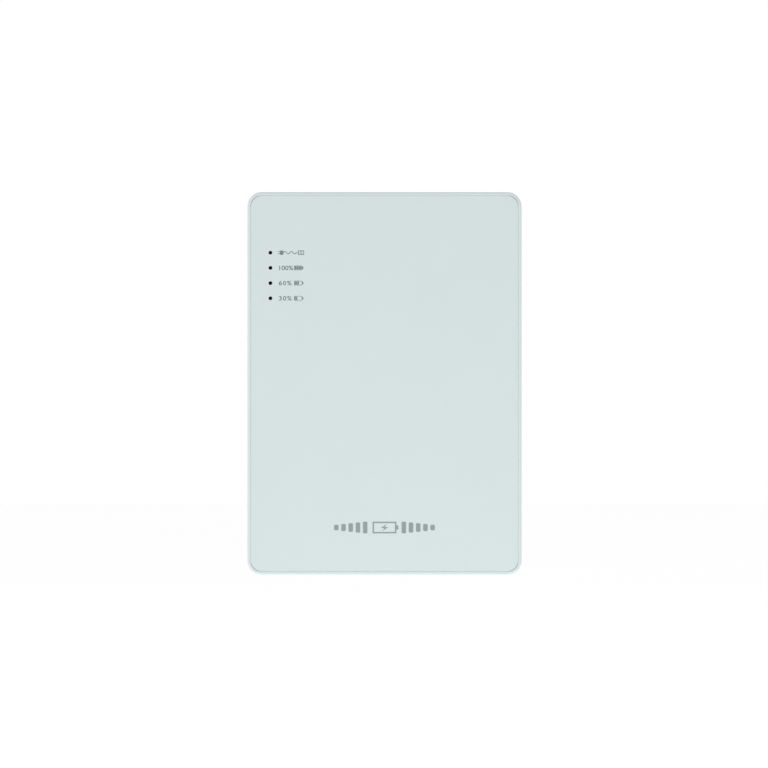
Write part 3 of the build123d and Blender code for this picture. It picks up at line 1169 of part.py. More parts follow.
def keep_leads(name, wire_r, routes, room=BEND_MOST):
    """Makes one round wire along each route, writes them as one node and prints their bends."""
    with BuildPart() as leads:
        for points in routes:
            with BuildLine():
                route = FilletPolyline(*points, radius=bend_radii(points, room))
            with BuildSketch(Plane(origin=points[0], z_dir=Vector(*points[1]) - Vector(*points[0]))):
                Circle(wire_r)
            sweep(path=route)
            bends = ", ".join(f"{radius:.1f}" for radius in bend_radii(points, room))
            print(f"{name}: {route.length:.1f} mm long, bends {bends}")
    keep(leads, name)


OUT_LEAD_DEPTH = OUT_FACE + HEADER_H / 2
MAINS_LEAD_DEPTH = MAINS_FACE + HEADER_H / 2
PAD_DEPTH = GUARD_FACE + PAD_H / 2
CHANNEL_Z = MAINS_LOW - CHANNEL_DROP  # between the mains board and the pack
TAB_TOP_Z = CELL_HIGH + TAB_RISE
GUARD_HIGH = GUARD_Z + GUARD_BOARD_H / 2 - PAD_INSET
GUARD_LOW = GUARD_Z - GUARD_BOARD_H / 2 + PAD_INSET
HALF_PITCH = HEADER_PITCH / 2

supply_routes = []
for side_step, drop in ((-HALF_PITCH, SUPPLY_STEP), (HALF_PITCH, 0.0)):
    from_x = SUPPLY_FROM[0] + side_step
    to_x = SUPPLY_TO[0] + side_step
    supply_routes.append(
        [
            (from_x, -MAINS_LEAD_DEPTH, SUPPLY_FROM[1] - HEADER_L / 2),
            (from_x, -MAINS_LEAD_DEPTH, CHANNEL_Z - drop),
            (to_x, -CELL_DEPTH, CHANNEL_Z - drop),
            (to_x, -CELL_DEPTH, OUT_HIGH + SUPPLY_KNEES[0]),
            (to_x, -OUT_LEAD_DEPTH, OUT_HIGH + SUPPLY_KNEES[1]),
            (to_x, -OUT_LEAD_DEPTH, SUPPLY_TO[1] + HEADER_L / 2),
        ]
    )
keep_leads("supply_leads", LEAD_R, supply_routes, BEND_ROOM)

cell_routes = []
CELL_ENDS = ((1, -1, PLUS_DEPTH, CELL_KNEES[0]), (3, 1, MINUS_DEPTH, CELL_KNEES[1]))
for last, pad_side, depth, lift in CELL_ENDS:
    pad_x = GUARD_X + pad_side * PAD_PITCH / 2
    cell_routes.append(
        [
            (CELL_XS[last] + STRIP_W / 2 + STRIP_T, -depth, TAB_TOP_Z),
            (pad_x, -depth, TAB_TOP_Z),
            (pad_x, -PAD_DEPTH, GUARD_HIGH + lift),
            (pad_x, -PAD_DEPTH, GUARD_HIGH),
        ]
    )
keep_leads("cell_leads", LEAD_R, cell_routes)

battery_routes = []
for way in (-1, 1):
    pad_x = GUARD_X + way * PAD_PITCH / 2
    pin_x = BATTERY_TO[0] + way * HALF_PITCH
    battery_routes.append(
        [
            (pad_x, -PAD_DEPTH, GUARD_LOW),
            (pad_x, -PAD_DEPTH, GUARD_LOW - BATTERY_KNEES[0]),
            (pin_x, -OUT_LEAD_DEPTH, BATTERY_TO[1] + HEADER_L / 2 + BATTERY_KNEES[1]),
            (pin_x, -OUT_LEAD_DEPTH, BATTERY_TO[1] + HEADER_L / 2),
        ]
    )
keep_leads("battery_leads", LEAD_R, battery_routes)

switch_routes = []
for way in (-1, 1):
    tab_z = ROCKER_Z - way * TAB_PITCH / 2
    fall_x = RIGHT - SWITCH_INSET + way * HALF_PITCH
    pin_x = SWITCH_TO[0] + way * HALF_PITCH
    switch_routes.append(
        [
            (RIGHT - HOUSING_BACK - TAB_L, -ROCKER_DEPTH, tab_z),
            (fall_x, -ROCKER_DEPTH, tab_z),
            (fall_x, -ROCKER_DEPTH, OUT_HIGH + SWITCH_KNEES[0]),
            (pin_x, -OUT_LEAD_DEPTH, SWITCH_TO[1] + HEADER_L / 2 + SWITCH_KNEES[1]),
            (pin_x, -OUT_LEAD_DEPTH, SWITCH_TO[1] + HEADER_L / 2),
        ]
    )
keep_leads("switch_leads", LEAD_R, switch_routes)

CABLE_X = LEFT + WALL + FIT_GAP + CABLE_R
CABLE_DEPTH = LED_BOARD_FACE - LED_BOARD_T - HEADER_H / 2
light_route = [
    (CABLE_X, -CABLE_DEPTH, LIGHTS_FROM[1] - HEADER_L / 2),
    (CABLE_X, -CABLE_DEPTH, CELL_LOW - CABLE_KNEE_DROP),
    (CABLE_X + CABLE_KNEE[0], -(OUT_LEAD_DEPTH + CABLE_KNEE[1]), OUT_HIGH - CABLE_KNEE[2]),
    (LIGHTS_TO[0], -OUT_LEAD_DEPTH, LIGHTS_TO[1] + HEADER_L / 2 + CABLE_END_RISE),
    (LIGHTS_TO[0], -OUT_LEAD_DEPTH, LIGHTS_TO[1] + HEADER_L / 2),
]
keep_leads("light_cable", CABLE_R, [light_route])
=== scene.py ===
"""Looks for the wall-hung backup battery: materials, printing, lights and camera.

Metres, in the CAD frame: +Z up, +X to the right of someone facing the unit, +Y into the wall.
"""

import json
from math import cos, pi, radians, sin

import bmesh
import bpy
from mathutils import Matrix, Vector


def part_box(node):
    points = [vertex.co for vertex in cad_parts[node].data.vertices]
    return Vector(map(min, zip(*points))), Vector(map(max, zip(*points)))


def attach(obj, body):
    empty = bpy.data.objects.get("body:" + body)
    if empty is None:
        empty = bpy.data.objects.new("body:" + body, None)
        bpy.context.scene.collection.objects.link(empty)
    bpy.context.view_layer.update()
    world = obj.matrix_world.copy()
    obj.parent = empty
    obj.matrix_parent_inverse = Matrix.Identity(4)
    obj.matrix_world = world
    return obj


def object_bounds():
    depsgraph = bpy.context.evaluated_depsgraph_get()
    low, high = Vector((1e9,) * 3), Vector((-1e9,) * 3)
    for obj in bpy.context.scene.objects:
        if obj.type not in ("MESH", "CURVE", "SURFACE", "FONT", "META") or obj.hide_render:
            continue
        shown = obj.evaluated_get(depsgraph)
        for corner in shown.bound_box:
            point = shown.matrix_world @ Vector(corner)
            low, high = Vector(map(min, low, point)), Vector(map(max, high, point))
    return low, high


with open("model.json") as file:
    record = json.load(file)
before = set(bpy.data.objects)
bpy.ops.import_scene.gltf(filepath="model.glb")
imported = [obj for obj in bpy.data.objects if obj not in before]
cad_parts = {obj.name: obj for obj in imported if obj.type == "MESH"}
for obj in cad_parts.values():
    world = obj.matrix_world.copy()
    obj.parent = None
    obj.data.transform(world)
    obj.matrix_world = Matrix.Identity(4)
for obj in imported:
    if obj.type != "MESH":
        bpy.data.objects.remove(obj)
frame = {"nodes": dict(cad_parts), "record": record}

CAD_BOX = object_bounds()
MM = 0.001
INK_T = 0.02 * MM  # thickness of every printed shape
LETTER_BOLD = 0.02  # how far each letter's outline is pushed out
CAP_SHARE = 0.7  # height of a capital as a share of the letters' size
VIEW_W = 321.9 * MM  # what the camera sees across, at the cover's face
CAMERA_GAP = 1.6  # camera to the cover's face
AIM_LEFT, AIM_DROP = 0.2 * MM, 0.19 * MM  # from the unit's middle to where the camera looks

scene = bpy.context.scene
scene.view_settings.view_transform = "Standard"


# ---------------------------------------------------------------- node helpers
def new_material(name):
    """A material with an empty Principled surface, its nodes and its links."""
    material = bpy.data.materials.new(name)
    material.use_nodes = True
    nodes = material.node_tree.nodes
    return material, nodes, material.node_tree.links, nodes["Principled BSDF"]


def place_coords(nodes, links, stretch=(1, 1, 1)):
    """Object coordinates, stretched along the axes."""
    coords = nodes.new("ShaderNodeTexCoord")
    mapping = nodes.new("ShaderNodeMapping")
    mapping.inputs["Scale"].default_value = stretch
    links.new(coords.outputs["Object"], mapping.inputs["Vector"])
    return mapping.outputs["Vector"]


def noise(nodes, links, vector, grain, detail=2.0, rough=0.5):
    """A noise value whose grains are this many metres across."""
    texture = nodes.new("ShaderNodeTexNoise")
    texture.inputs["Scale"].default_value = 1 / grain
    texture.inputs["Detail"].default_value = detail
    texture.inputs["Roughness"].default_value = rough
    links.new(vector, texture.inputs["Vector"])
    return texture.outputs["Fac"]


def spread(nodes, links, value, low, high, start=0.3, stop=0.7):
    """The value mapped from start..stop to low..high."""
    node = nodes.new("ShaderNodeMapRange")
    node.inputs["From Min"].default_value = start
    node.inputs["From Max"].default_value = stop
    node.inputs["To Min"].default_value = low
    node.inputs["To Max"].default_value = high
    links.new(value, node.inputs["Value"])
    return node.outputs["Result"]


def mixed(nodes, links, value, first, second):
    """A colour between two colours, or between a colour and a socket."""
    node = nodes.new("ShaderNodeMix")
    node.data_type = "RGBA"
    links.new(value, node.inputs["Factor"])
    for socket, colour in ((node.inputs[6], first), (node.inputs[7], second)):
        if isinstance(colour, tuple):
            socket.default_value = (*colour, 1.0)
        else:
            links.new(colour, socket)
    return node.outputs[2]


def bump(nodes, links, shader, height, depth):
    """Raises the surface by a height value times this depth in metres."""
    node = nodes.new("ShaderNodeBump")
    node.inputs["Strength"].default_value = 1.0
    node.inputs["Distance"].default_value = depth
    links.new(height, node.inputs["Height"])
    links.new(node.outputs["Normal"], shader.inputs["Normal"])


def shaded(colour, share):
    """A colour made darker or lighter by a share."""
    return tuple(channel * share for channel in colour)


# ---------------------------------------------------------------- materials
FLOW_GRAIN = 22 * MM  # flow marks in moulded plastic
CLOUD_GRAIN = 3 * MM  # dull patches on metal
SCRATCH_DEPTH = 0.004 * MM
TRACK_CELL = 16 * MM  # spacing of a board's tracks
TRACK_DEPTH = 0.03 * MM
PAD_CELL = 3.2 * MM  # spacing of a board's pads
PAD_EDGE = (0.16, 0.19)  # where a pad ends, as a share of that spacing
MASK_DARK, MASK_LIGHT, PAD_TIN = (0.008, 0.075, 0.035), (0.02, 0.16, 0.075), (0.55, 0.5, 0.42)
TURN_DEPTH = 0.12 * MM
INK_GRAIN = 0.12 * MM


def moulded(name, colour, rough, grain, depth, gloss=0.5, wear=0.03):
    """Moulded plastic or rubber: spark-eroded grain, faint flow marks and uneven gloss."""
    material, nodes, links, shader = new_material(name)
    vector = place_coords(nodes, links)
    fine = noise(nodes, links, vector, grain, 3.0, 0.6)
    broad = noise(nodes, links, vector, FLOW_GRAIN)
    tone = mixed(nodes, links, broad, shaded(colour, 1 - wear), shaded(colour, 1 + wear))
    links.new(tone, shader.inputs["Base Color"])
    links.new(spread(nodes, links, fine, rough - 0.05, rough + 0.06), shader.inputs["Roughness"])
    shader.inputs["Specular IOR Level"].default_value = gloss
    bump(nodes, links, shader, fine, depth)
    return material


def brushed(name, colour, rough, stretch, scratch=0.12 * MM):
    """Rolled or drawn metal: long fine scratches and clouded gloss."""
    material, nodes, links, shader = new_material(name)
    vector = place_coords(nodes, links, stretch)
    lines = noise(nodes, links, vector, scratch, 4.0, 0.6)
    cloud = noise(nodes, links, place_coords(nodes, links), CLOUD_GRAIN)
    tone = mixed(nodes, links, lines, shaded(colour, 0.9), shaded(colour, 1.06))
    links.new(tone, shader.inputs["Base Color"])
    links.new(spread(nodes, links, cloud, rough - 0.06, rough + 0.08), shader.inputs["Roughness"])
    shader.inputs["Metallic"].default_value = 1.0
    bump(nodes, links, shader, lines, SCRATCH_DEPTH)
    return material


def circuit_board(name):
    """Green solder mask with raised tracks and pads."""
    material, nodes, links, shader = new_material(name)
    vector = place_coords(nodes, links)
    cells = nodes.new("ShaderNodeTexBrick")
    cells.inputs["Scale"].default_value = 1 / TRACK_CELL
    cells.inputs["Mortar Size"].default_value = 0.06
    cells.inputs["Mortar Smooth"].default_value = 0.05
    swapped = nodes.new("ShaderNodeMapping")
    swapped.inputs["Rotation"].default_value = (pi / 2, 0, 0)
    links.new(vector, swapped.inputs["Vector"])
    links.new(swapped.outputs["Vector"], cells.inputs["Vector"])
    dots = nodes.new("ShaderNodeTexVoronoi")
    dots.inputs["Scale"].default_value = 1 / PAD_CELL
    links.new(vector, dots.inputs["Vector"])
    pad = spread(nodes, links, dots.outputs["Distance"], 1.0, 0.0, *PAD_EDGE)
    mask = mixed(nodes, links, cells.outputs["Fac"], MASK_DARK, MASK_LIGHT)
    tone = mixed(nodes, links, pad, mask, PAD_TIN)
    links.new(tone, shader.inputs["Base Color"])
    links.new(spread(nodes, links, pad, 0.3, 0.42, 0.0, 1.0), shader.inputs["Roughness"])
    links.new(pad, shader.inputs["Metallic"])
    bump(nodes, links, shader, cells.outputs["Fac"], TRACK_DEPTH)
    return material


def wound(name, colour, pitch):
    """Enamelled wire or lapped tape laid in turns one above the other, with painted shade between the
    turns.
    """
    material, nodes, links, shader = new_material(name)
    vector = place_coords(nodes, links, (0, 0, 1))
    turns = nodes.new("ShaderNodeTexWave")
    turns.inputs["Scale"].default_value = pi / (10 * pitch)
    turns.inputs["Distortion"].default_value = 0.6
    links.new(vector, turns.inputs["Vector"])
    # painted shade: the colour darkens to 0.55 in the hollows between turns, where the bump is low
    tone = mixed(nodes, links, turns.outputs["Fac"], shaded(colour, 0.55), colour)
    links.new(tone, shader.inputs["Base Color"])
    links.new(spread(nodes, links, turns.outputs["Fac"], 0.45, 0.25, 0, 1), shader.inputs["Roughness"])
    bump(nodes, links, shader, turns.outputs["Fac"], TURN_DEPTH)
    return material


def ink(name, colour):
    """Pad-printed ink: matt, slightly broken up by the grain under it."""
    material, nodes, links, shader = new_material(name)
    fine = noise(nodes, links, place_coords(nodes, links), INK_GRAIN)
    tone = mixed(nodes, links, fine, shaded(colour, 0.9), shaded(colour, 1.12))
    links.new(tone, shader.inputs["Base Color"])
    links.new(spread(nodes, links, fine, 0.5, 0.66), shader.inputs["Roughness"])
    shader.inputs["Specular IOR Level"].default_value = 0.3
    return material


COVER_TONE = (0.655, 0.742, 0.738)
# painted light: the rear shell is the cover's colour made 1.5% lighter, so the rim band round the cover
# reads as if more light fell on it
LIT_SHELL_TONE = shaded(COVER_TONE, 1.015)
BLACK_TONE = (0.022, 0.022, 0.024)
SMOKE_TONE = (0.0015, 0.0015, 0.0018)
MATERIALS = {
    "cover_plastic": moulded("cover_abs", COVER_TONE, 0.46, 0.16 * MM, 0.006 * MM, wear=0.012),
    "shell_plastic": moulded("shell_abs", LIT_SHELL_TONE, 0.44, 0.16 * MM, 0.006 * MM, wear=0.012),
    "black_plastic": moulded("black_nylon", BLACK_TONE, 0.42, 0.14 * MM, 0.012 * MM, wear=0.12),
    "smoked_plastic": moulded("smoked_guide", SMOKE_TONE, 0.5, 0.5 * MM, 0.002 * MM, 0.06, 0.1),
    "foot_rubber": moulded("foot_rubber", (0.03, 0.03, 0.032), 0.74, 0.22 * MM, 0.02 * MM, 0.3, 0.2),
    "screw_steel": brushed("screw_zinc", (0.6, 0.6, 0.58), 0.34, (1, 6, 1), 0.2 * MM),
    "contact_metal": brushed("contact_gold", (0.83, 0.62, 0.26), 0.24, (1, 1, 8)),
    "plated_steel": brushed("nickel_plate", (0.68, 0.67, 0.65), 0.26, (12, 1, 1)),
    "label_paper": moulded("label_film", (0.62, 0.64, 0.65), 0.34, 0.3 * MM, 0.003 * MM, wear=0.02),
    "board_laminate": circuit_board("solder_mask"),
    "chip_epoxy": moulded("chip_epoxy", (0.02, 0.02, 0.022), 0.5, 0.1 * MM, 0.01 * MM, wear=0.2),
    "chip_light": moulded("light_chip", (0.8, 0.78, 0.5), 0.3, 0.3 * MM, 0.004 * MM),
    "cell_sleeve": moulded("cell_sleeve", (0.01, 0.13, 0.36), 0.26, 1.2 * MM, 0.01 * MM, wear=0.08),
    "bracket_plastic": moulded("bracket_nylon", (0.03, 0.03, 0.033), 0.5, 0.2 * MM, 0.012 * MM, wear=0.15),
    "strip_nickel": brushed("strip_nickel", (0.6, 0.57, 0.52), 0.3, (1, 10, 1)),
    "fish_paper": moulded("fish_paper", (0.06, 0.24, 0.2), 0.62, 0.35 * MM, 0.02 * MM, wear=0.08),
    "can_sleeve": moulded("can_sleeve", (0.015, 0.02, 0.05), 0.3, 0.6 * MM, 0.006 * MM, wear=0.15),
    "ferrite": moulded("ferrite", (0.04, 0.04, 0.043), 0.56, 0.18 * MM, 0.02 * MM, wear=0.2),
    "copper_wire": wound("copper_turns", (0.62, 0.22, 0.07), 0.7 * MM),
    "coil_tape": wound("coil_tape", (0.75, 0.5, 0.05), 4.8 * MM),
    "sink_aluminium": brushed("sink_aluminium", (0.66, 0.67, 0.68), 0.36, (1, 8, 1)),
    "film_box": moulded("film_box", (0.62, 0.44, 0.07), 0.36, 0.3 * MM, 0.006 * MM, wear=0.06),
    "header_nylon": moulded("header_nylon", (0.78, 0.75, 0.66), 0.44, 0.2 * MM, 0.008 * MM, wear=0.05),
    "wire_pvc": moulded("wire_pvc", (0.45, 0.02, 0.015), 0.38, 0.5 * MM, 0.006 * MM, wear=0.1),
    "cable_pvc": moulded("cable_pvc", (0.06, 0.06, 0.065), 0.46, 0.4 * MM, 0.008 * MM, wear=0.1),
    "knob_plastic": moulded("knob_plastic", (0.72, 0.72, 0.69), 0.42, 0.15 * MM, 0.008 * MM, wear=0.04),
}
GREY_INK = ink("grey_ink", (0.275, 0.345, 0.33))
CAPTION_INK = ink("caption_ink", (0.115, 0.15, 0.142))
ICON_INK = ink("icon_ink", (0.185, 0.235, 0.225))
LEGEND_INK = ink("legend_ink", (0.16, 0.2, 0.19))
DARK_INK = ink("dark_ink", (0.06, 0.065, 0.068))
WHITE_INK = ink("white_ink", (0.78, 0.78, 0.76))

for entry in frame["record"]["subparts"]:
    part = frame["nodes"][entry["node"]]
    part.data.materials.clear()
    part.data.materials.append(MATERIALS[entry["material_slot"]])


# ---------------------------------------------------------------- flat shapes
def bar(left, low, right, high, radius=0.0, count=5):
    """A rectangular outline, with round corners if a radius is given."""
    if not radius:
        return [(left, low), (right, low), (right, high), (left, high)]
    points = []
    corners = ((right, high, 0), (left, high, 1), (left, low, 2), (right, low, 3))
    for x, y, quarter in corners:
        centre_x = x - radius if x == right else x + radius
        centre_y = y - radius if y == high else y + radius
        for step in range(count + 1):
            angle = (quarter + step / count) * pi / 2
            points.append((centre_x + radius * cos(angle), centre_y + radius * sin(angle)))
    return points


def stroke(points, width):
    """The outline of a line of this width through the points."""
    left, right = [], []
    for i, point in enumerate(points):
        before = Vector(points[max(i - 1, 0)])
        after = Vector(points[min(i + 1, len(points) - 1)])
        along = (after - before).normalized()
        across = Vector((-along.y, along.x)) * width / 2
        left.append(tuple(Vector(point) + across))
        right.append(tuple(Vector(point) - across))
    return left + right[::-1]


def frame_bars(left, low, right, high, width):
    """Four bars that make an open rectangle."""
    return [
        bar(left, low, right, low + width),
        bar(left, high - width, right, high),
        bar(left, low + width, left + width, high - width),
        bar(right - width, low + width, right, high - width),
    ]


def sheet(origin, across, up, offset=(0.0, 0.0)):
    """A function that takes flat millimetres to a point on a plane of the object."""
    start, across, up = Vector(origin), Vector(across), Vector(up)

    def to_world(x, y):
        return start + across * (x + offset[0]) * MM + up * (y + offset[1]) * MM

    return to_world, across.cross(up)


def printed(name, outlines, plane, material, body="housing"):
    """Thin solid shapes that lie on a plane and ride on a body."""
    to_world, normal = plane
    mesh = bmesh.new()
    for outline in outlines:
        base = [mesh.verts.new(to_world(x, y)) for x, y in outline]
        face = mesh.faces.new(base)
        lifted = bmesh.ops.extrude_face_region(mesh, geom=[face])["geom"]
        moved = [item for item in lifted if isinstance(item, bmesh.types.BMVert)]
        bmesh.ops.translate(mesh, verts=moved, vec=normal * INK_T)
    bmesh.ops.recalc_face_normals(mesh, faces=mesh.faces)
    return finished(name, mesh, material, body)


def finished(name, mesh, material, body):
    """Turns a bmesh into an object with a material, riding on a body."""
    data = bpy.data.meshes.new(name)
    mesh.to_mesh(data)
    mesh.free()
    data.materials.append(material)
    piece = bpy.data.objects.new(name, data)
    scene.collection.objects.link(piece)
    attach(piece, body)
    return piece


def lettered(name, words, cap, plane, material, widen=1.0, gap=1.0, align="LEFT"):
    """Figures and signs of this cap height, as thin solid shapes on a plane."""
    curve = bpy.data.curves.new(name + "_curve", "FONT")
    curve.body = words
    curve.size = cap / CAP_SHARE
    curve.align_x = align
    curve.space_character = gap
    curve.offset = LETTER_BOLD
    curve.resolution_u = 3
    holder = bpy.data.objects.new(name + "_curve", curve)
    scene.collection.objects.link(holder)
    bpy.context.view_layer.update()
    shown = holder.evaluated_get(bpy.context.evaluated_depsgraph_get())
    flat = bpy.data.meshes.new_from_object(shown)
    bpy.data.objects.remove(holder)
    to_world, normal = plane
    mesh = bmesh.new()
    mesh.from_mesh(flat)
    bpy.data.meshes.remove(flat)
    bmesh.ops.remove_doubles(mesh, verts=mesh.verts, dist=1e-5)
    for vert in mesh.verts:
        vert.co = to_world(vert.co.x * widen, vert.co.y)
    lifted = bmesh.ops.extrude_face_region(mesh, geom=list(mesh.faces))["geom"]
    moved = [item for item in lifted if isinstance(item, bmesh.types.BMVert)]
    bmesh.ops.translate(mesh, verts=moved, vec=normal * INK_T)
    bmesh.ops.recalc_face_normals(mesh, faces=mesh.faces)
    return finished(name, mesh, material, "housing")


# ---------------------------------------------------------------- printing on the cover
cover_low, cover_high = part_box("front_cover")
chips_low, chips_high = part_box("light_chips")
CHIP_H = 1.25 * MM  # height of one light chip
LIGHT_X = (chips_low.x + chips_high.x) / 2
LIGHT_TOP = chips_high.z - CHIP_H / 2
LIGHT_PITCH = (LIGHT_TOP - (chips_low.z + CHIP_H / 2)) / 3

# printing on the cover, in millimetres
CAPTION_X = 3.45  # a light to its caption
CAP = 1.86  # height of the figures
ICON_X = 9.9  # a light to its battery symbol
ICON_W, ICON_H = 3.9, 1.92
ICON_LINE = 0.2
NOSE_W = 0.95  # the battery symbol's blunt right end
NOSE_HOLLOW, NOSE_HOLLOW_H = 0.3, 0.4  # hollow behind the nose: depth and half height
NOSE_SHOULDER, NOSE_EASE = 0.55, 0.3  # where the slope starts, and how far it drops
NOSE_TIP_H = 0.3  # half height of the tip
BLOCK_GAP = 0.1  # between the blocks of charge
PLUG_SHIFT = 0.25  # the plug starts this much nearer its light than the figures do
PRONG_L, PRONG_LOW, PRONG_HIGH = 0.8, 0.26, 0.56
PLUG_END, PLUG_R = 2.2, 0.4
WAVE_L, WAVE_H, WAVE_TURNS, WAVE_STEPS = 5.4, 0.5, 2, 36
WAVE_LINE = 0.32
OUTLET_LEFT, OUTLET_RIGHT, OUTLET_LINE = 8.4, 10.9, 0.3
SLOT_INSET, SLOT_LOW, SLOT_HIGH = 0.75, 0.2, 0.46
# words, place to the right, letter width, letter spacing, filled share, blocks in it
CAPTIONS = (
    ("100%", -0.3, 1.13, 0.98, 1.08, 4),
    ("60%", 0.0, 1.09, 1.2, 0.7, 3),
    ("30%", 0.0, 1.09, 1.2, 0.44, 2),
)


def on_cover(x, z, offset=(0.0, 0.0)):
    """The cover's face, seen from the front, with flat zero at this x and z."""
    return sheet((x, cover_low.y, z), (1, 0, 0), (0, 0, 1), offset)


def battery_icon(share, blocks):
    """A battery lying on its side, filled to this share with this many blocks."""
    half = ICON_H / 2
    body_w = ICON_W - NOSE_W
    inner = half - ICON_LINE
    shapes = [
        bar(0, inner, body_w, half),
        bar(0, -half, body_w, -inner),
        bar(0, -inner, ICON_LINE, inner),
    ]
    for way in (1, -1):  # upper and lower half of the nose
        shapes.append([
            (body_w, way * half),
            (body_w, way * inner),
            (body_w + NOSE_HOLLOW, way * NOSE_HOLLOW_H),
            (body_w + NOSE_HOLLOW, 0),
            (ICON_W, 0),
            (ICON_W, way * NOSE_TIP_H),
            (body_w + NOSE_SHOULDER, way * (half - NOSE_EASE)),
        ])
    block = (body_w - ICON_LINE) * share / blocks
    for index in range(blocks):
        left = ICON_LINE + block * index + BLOCK_GAP / 2
        shapes.append(bar(left, BLOCK_GAP - inner, left + block - BLOCK_GAP, inner - BLOCK_GAP))
    return shapes


def mains_icon():
    """A plug, its cord drawn as a wave, and the outlet it goes to."""
    half = CAP / 2
    wave_end = PLUG_END + WAVE_L
    shapes = []
    for way in (1, -1):
        low, high = sorted((way * PRONG_LOW, way * PRONG_HIGH))
        shapes.append(bar(0.0, low, PRONG_L, high))
    shapes.append(bar(PRONG_L, -half, PLUG_END, half, PLUG_R))
    wave = []
    for i in range(WAVE_STEPS + 1):
        share = i / WAVE_STEPS
        wave.append((PLUG_END + WAVE_L * share, WAVE_H * sin(2 * pi * WAVE_TURNS * share)))
    shapes.append(stroke(wave, WAVE_LINE))
    shapes.append(bar(wave_end, -WAVE_LINE / 2, OUTLET_LEFT, WAVE_LINE / 2))
    shapes += frame_bars(OUTLET_LEFT, -half, OUTLET_RIGHT, half, OUTLET_LINE)
    for way in (1, -1):
        low, high = sorted((way * SLOT_LOW, way * SLOT_HIGH))
        shapes.append(bar(OUTLET_LEFT + SLOT_INSET, low, OUTLET_RIGHT - SLOT_INSET, high))
    return shapes


mains_plane = on_cover(LIGHT_X, LIGHT_TOP, (CAPTION_X - PLUG_SHIFT, 0))
printed("caption_mains", mains_icon(), mains_plane, ICON_INK)
for row, (words, shift, widen, gap, share, blocks) in enumerate(CAPTIONS, 1):
    light_z = LIGHT_TOP - LIGHT_PITCH * row
    words_plane = on_cover(LIGHT_X, light_z, (CAPTION_X + shift, -CAP / 2))
    icon_plane = on_cover(LIGHT_X, light_z, (ICON_X, 0))
    lettered(f"caption_{row}", words, CAP, words_plane, CAPTION_INK, widen, gap)
    printed(f"battery_icon_{row}", battery_icon(share, blocks), icon_plane, ICON_INK)

# the emblem, in millimetres
MARK_RISE = 19.9  # bottom edge of the unit to the middle of the emblem
MARK_H = 4.9
CASE_HALF_W, CASE_LINE = 5.0, 0.62  # its battery outline
TERMINAL_L, TERMINAL_HALF_H = 0.8, 0.85
HALF_BOLT = ((0.9, 1.5), (-1.6, -0.2), (-0.1, -0.2))
BAR_FIRST, BAR_PITCH, BAR_COUNT = 8.1, 3.02, 5
BAR_HALF_W, BAR_R = 0.95, 0.5
BAR_SHRINK = 0.13  # each bar is shorter than the last by this share of the tallest


def cover_mark():
    """A plain emblem: a bolt in a battery outline between two rows of shrinking bars."""
    half = MARK_H / 2
    shapes = frame_bars(-CASE_HALF_W, -half, CASE_HALF_W, half, CASE_LINE)
    shapes.append(bar(CASE_HALF_W, -TERMINAL_HALF_H, CASE_HALF_W + TERMINAL_L, TERMINAL_HALF_H))
    shapes.append([*HALF_BOLT, *((-x, -y) for x, y in HALF_BOLT)])
    for way in (-1, 1):
        for step in range(BAR_COUNT):
            middle = way * (BAR_FIRST + step * BAR_PITCH)
            reach = half * (1 - BAR_SHRINK * step)
            shapes.append(bar(middle - BAR_HALF_W, -reach, middle + BAR_HALF_W, reach, BAR_R))
    return shapes


mark_plane = on_cover(0, CAD_BOX[0][2] + MARK_RISE * MM)
printed("cover_mark", cover_mark(), mark_plane, GREY_INK)

# ---------------------------------------------------------------- printing by the sockets
END_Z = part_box("rear_shell")[0].z
LEGEND_CAP, SELECTOR_CAP = 1.7, 1.2  # heights of the figures, in millimetres


def under_end(x, depth):
    """The lower end, seen from below with the cover's face at the top."""
    return sheet((x, -depth, END_Z), (1, 0, 0), (0, -1, 0))


def centre_x(node):
    """The middle of a node from left to right."""
    low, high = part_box(node)
    return (low.x + high.x) / 2


LEGEND_DEPTH = 22.5 * MM  # in front of the sockets
SELECTOR_DEPTH = 12.2 * MM  # in front of the selector's window
LEGENDS = (
    ("usb_shell", "5"),
    ("dc_jack_9v", "9"),
    ("dc_jack_12v", "12"),
    ("poe_jack", "1"),
    ("lan_jack", "2"),
)
for node, words in LEGENDS:
    words_plane = under_end(centre_x(node), LEGEND_DEPTH)
    lettered(f"legend_{node}", words, LEGEND_CAP, words_plane, LEGEND_INK, align="CENTER")
words_plane = under_end(centre_x("selector_body"), SELECTOR_DEPTH)
lettered(
    "legend_selector", "15  24", SELECTOR_CAP, words_plane, LEGEND_INK, align="CENTER"
)

# ---------------------------------------------------------------- rocker marks
ROCKER_TILT = radians(9)  # how far the upper end leans out when off
DISH_R = 19.1  # millimetres from here on: radius of the rocker's hollow face
DISH_LIFT = 2.7  # pivot to the middle of that face
MARK_STEP = 3.1  # middle of the face to the middle of each mark
MARK_SIZE = 1.7
MARK_LINE = 0.32
HALF_RING_STEPS = 14
JOINTS = frame["record"]["behaviour"]["joints"]
PIVOT = next(Vector(joint["pos_m"]) for joint in JOINTS if joint["name"] == "rocker_tilt")


def on_rocker(step):
    """The rocker's face at this distance above its middle, along its length."""
    angle = ROCKER_TILT + step / DISH_R
    reach = DISH_R + DISH_LIFT
    up = Vector((sin(angle), 0, cos(angle)))
    out = Vector((cos(angle), 0, -sin(angle)))
    axis = PIVOT + Vector((cos(ROCKER_TILT), 0, -sin(ROCKER_TILT))) * reach * MM
    return sheet(axis - out * (DISH_R - INK_T / MM) * MM, (0, 1, 0), up)


printed("rocker_mark_on", [bar(-MARK_LINE / 2, -MARK_SIZE / 2, MARK_LINE / 2, MARK_SIZE / 2)],
        on_rocker(MARK_STEP), WHITE_INK, "rocker")
half_turn = [pi * i / HALF_RING_STEPS for i in range(HALF_RING_STEPS + 1)]
upper_half = [(MARK_SIZE / 2 * cos(a), MARK_SIZE / 2 * sin(a)) for a in half_turn]
lower_half = [(-x, -y) for x, y in upper_half]
printed("rocker_mark_off", [stroke(upper_half, MARK_LINE), stroke(lower_half, MARK_LINE)],
        on_rocker(-MARK_STEP), WHITE_INK, "rocker")

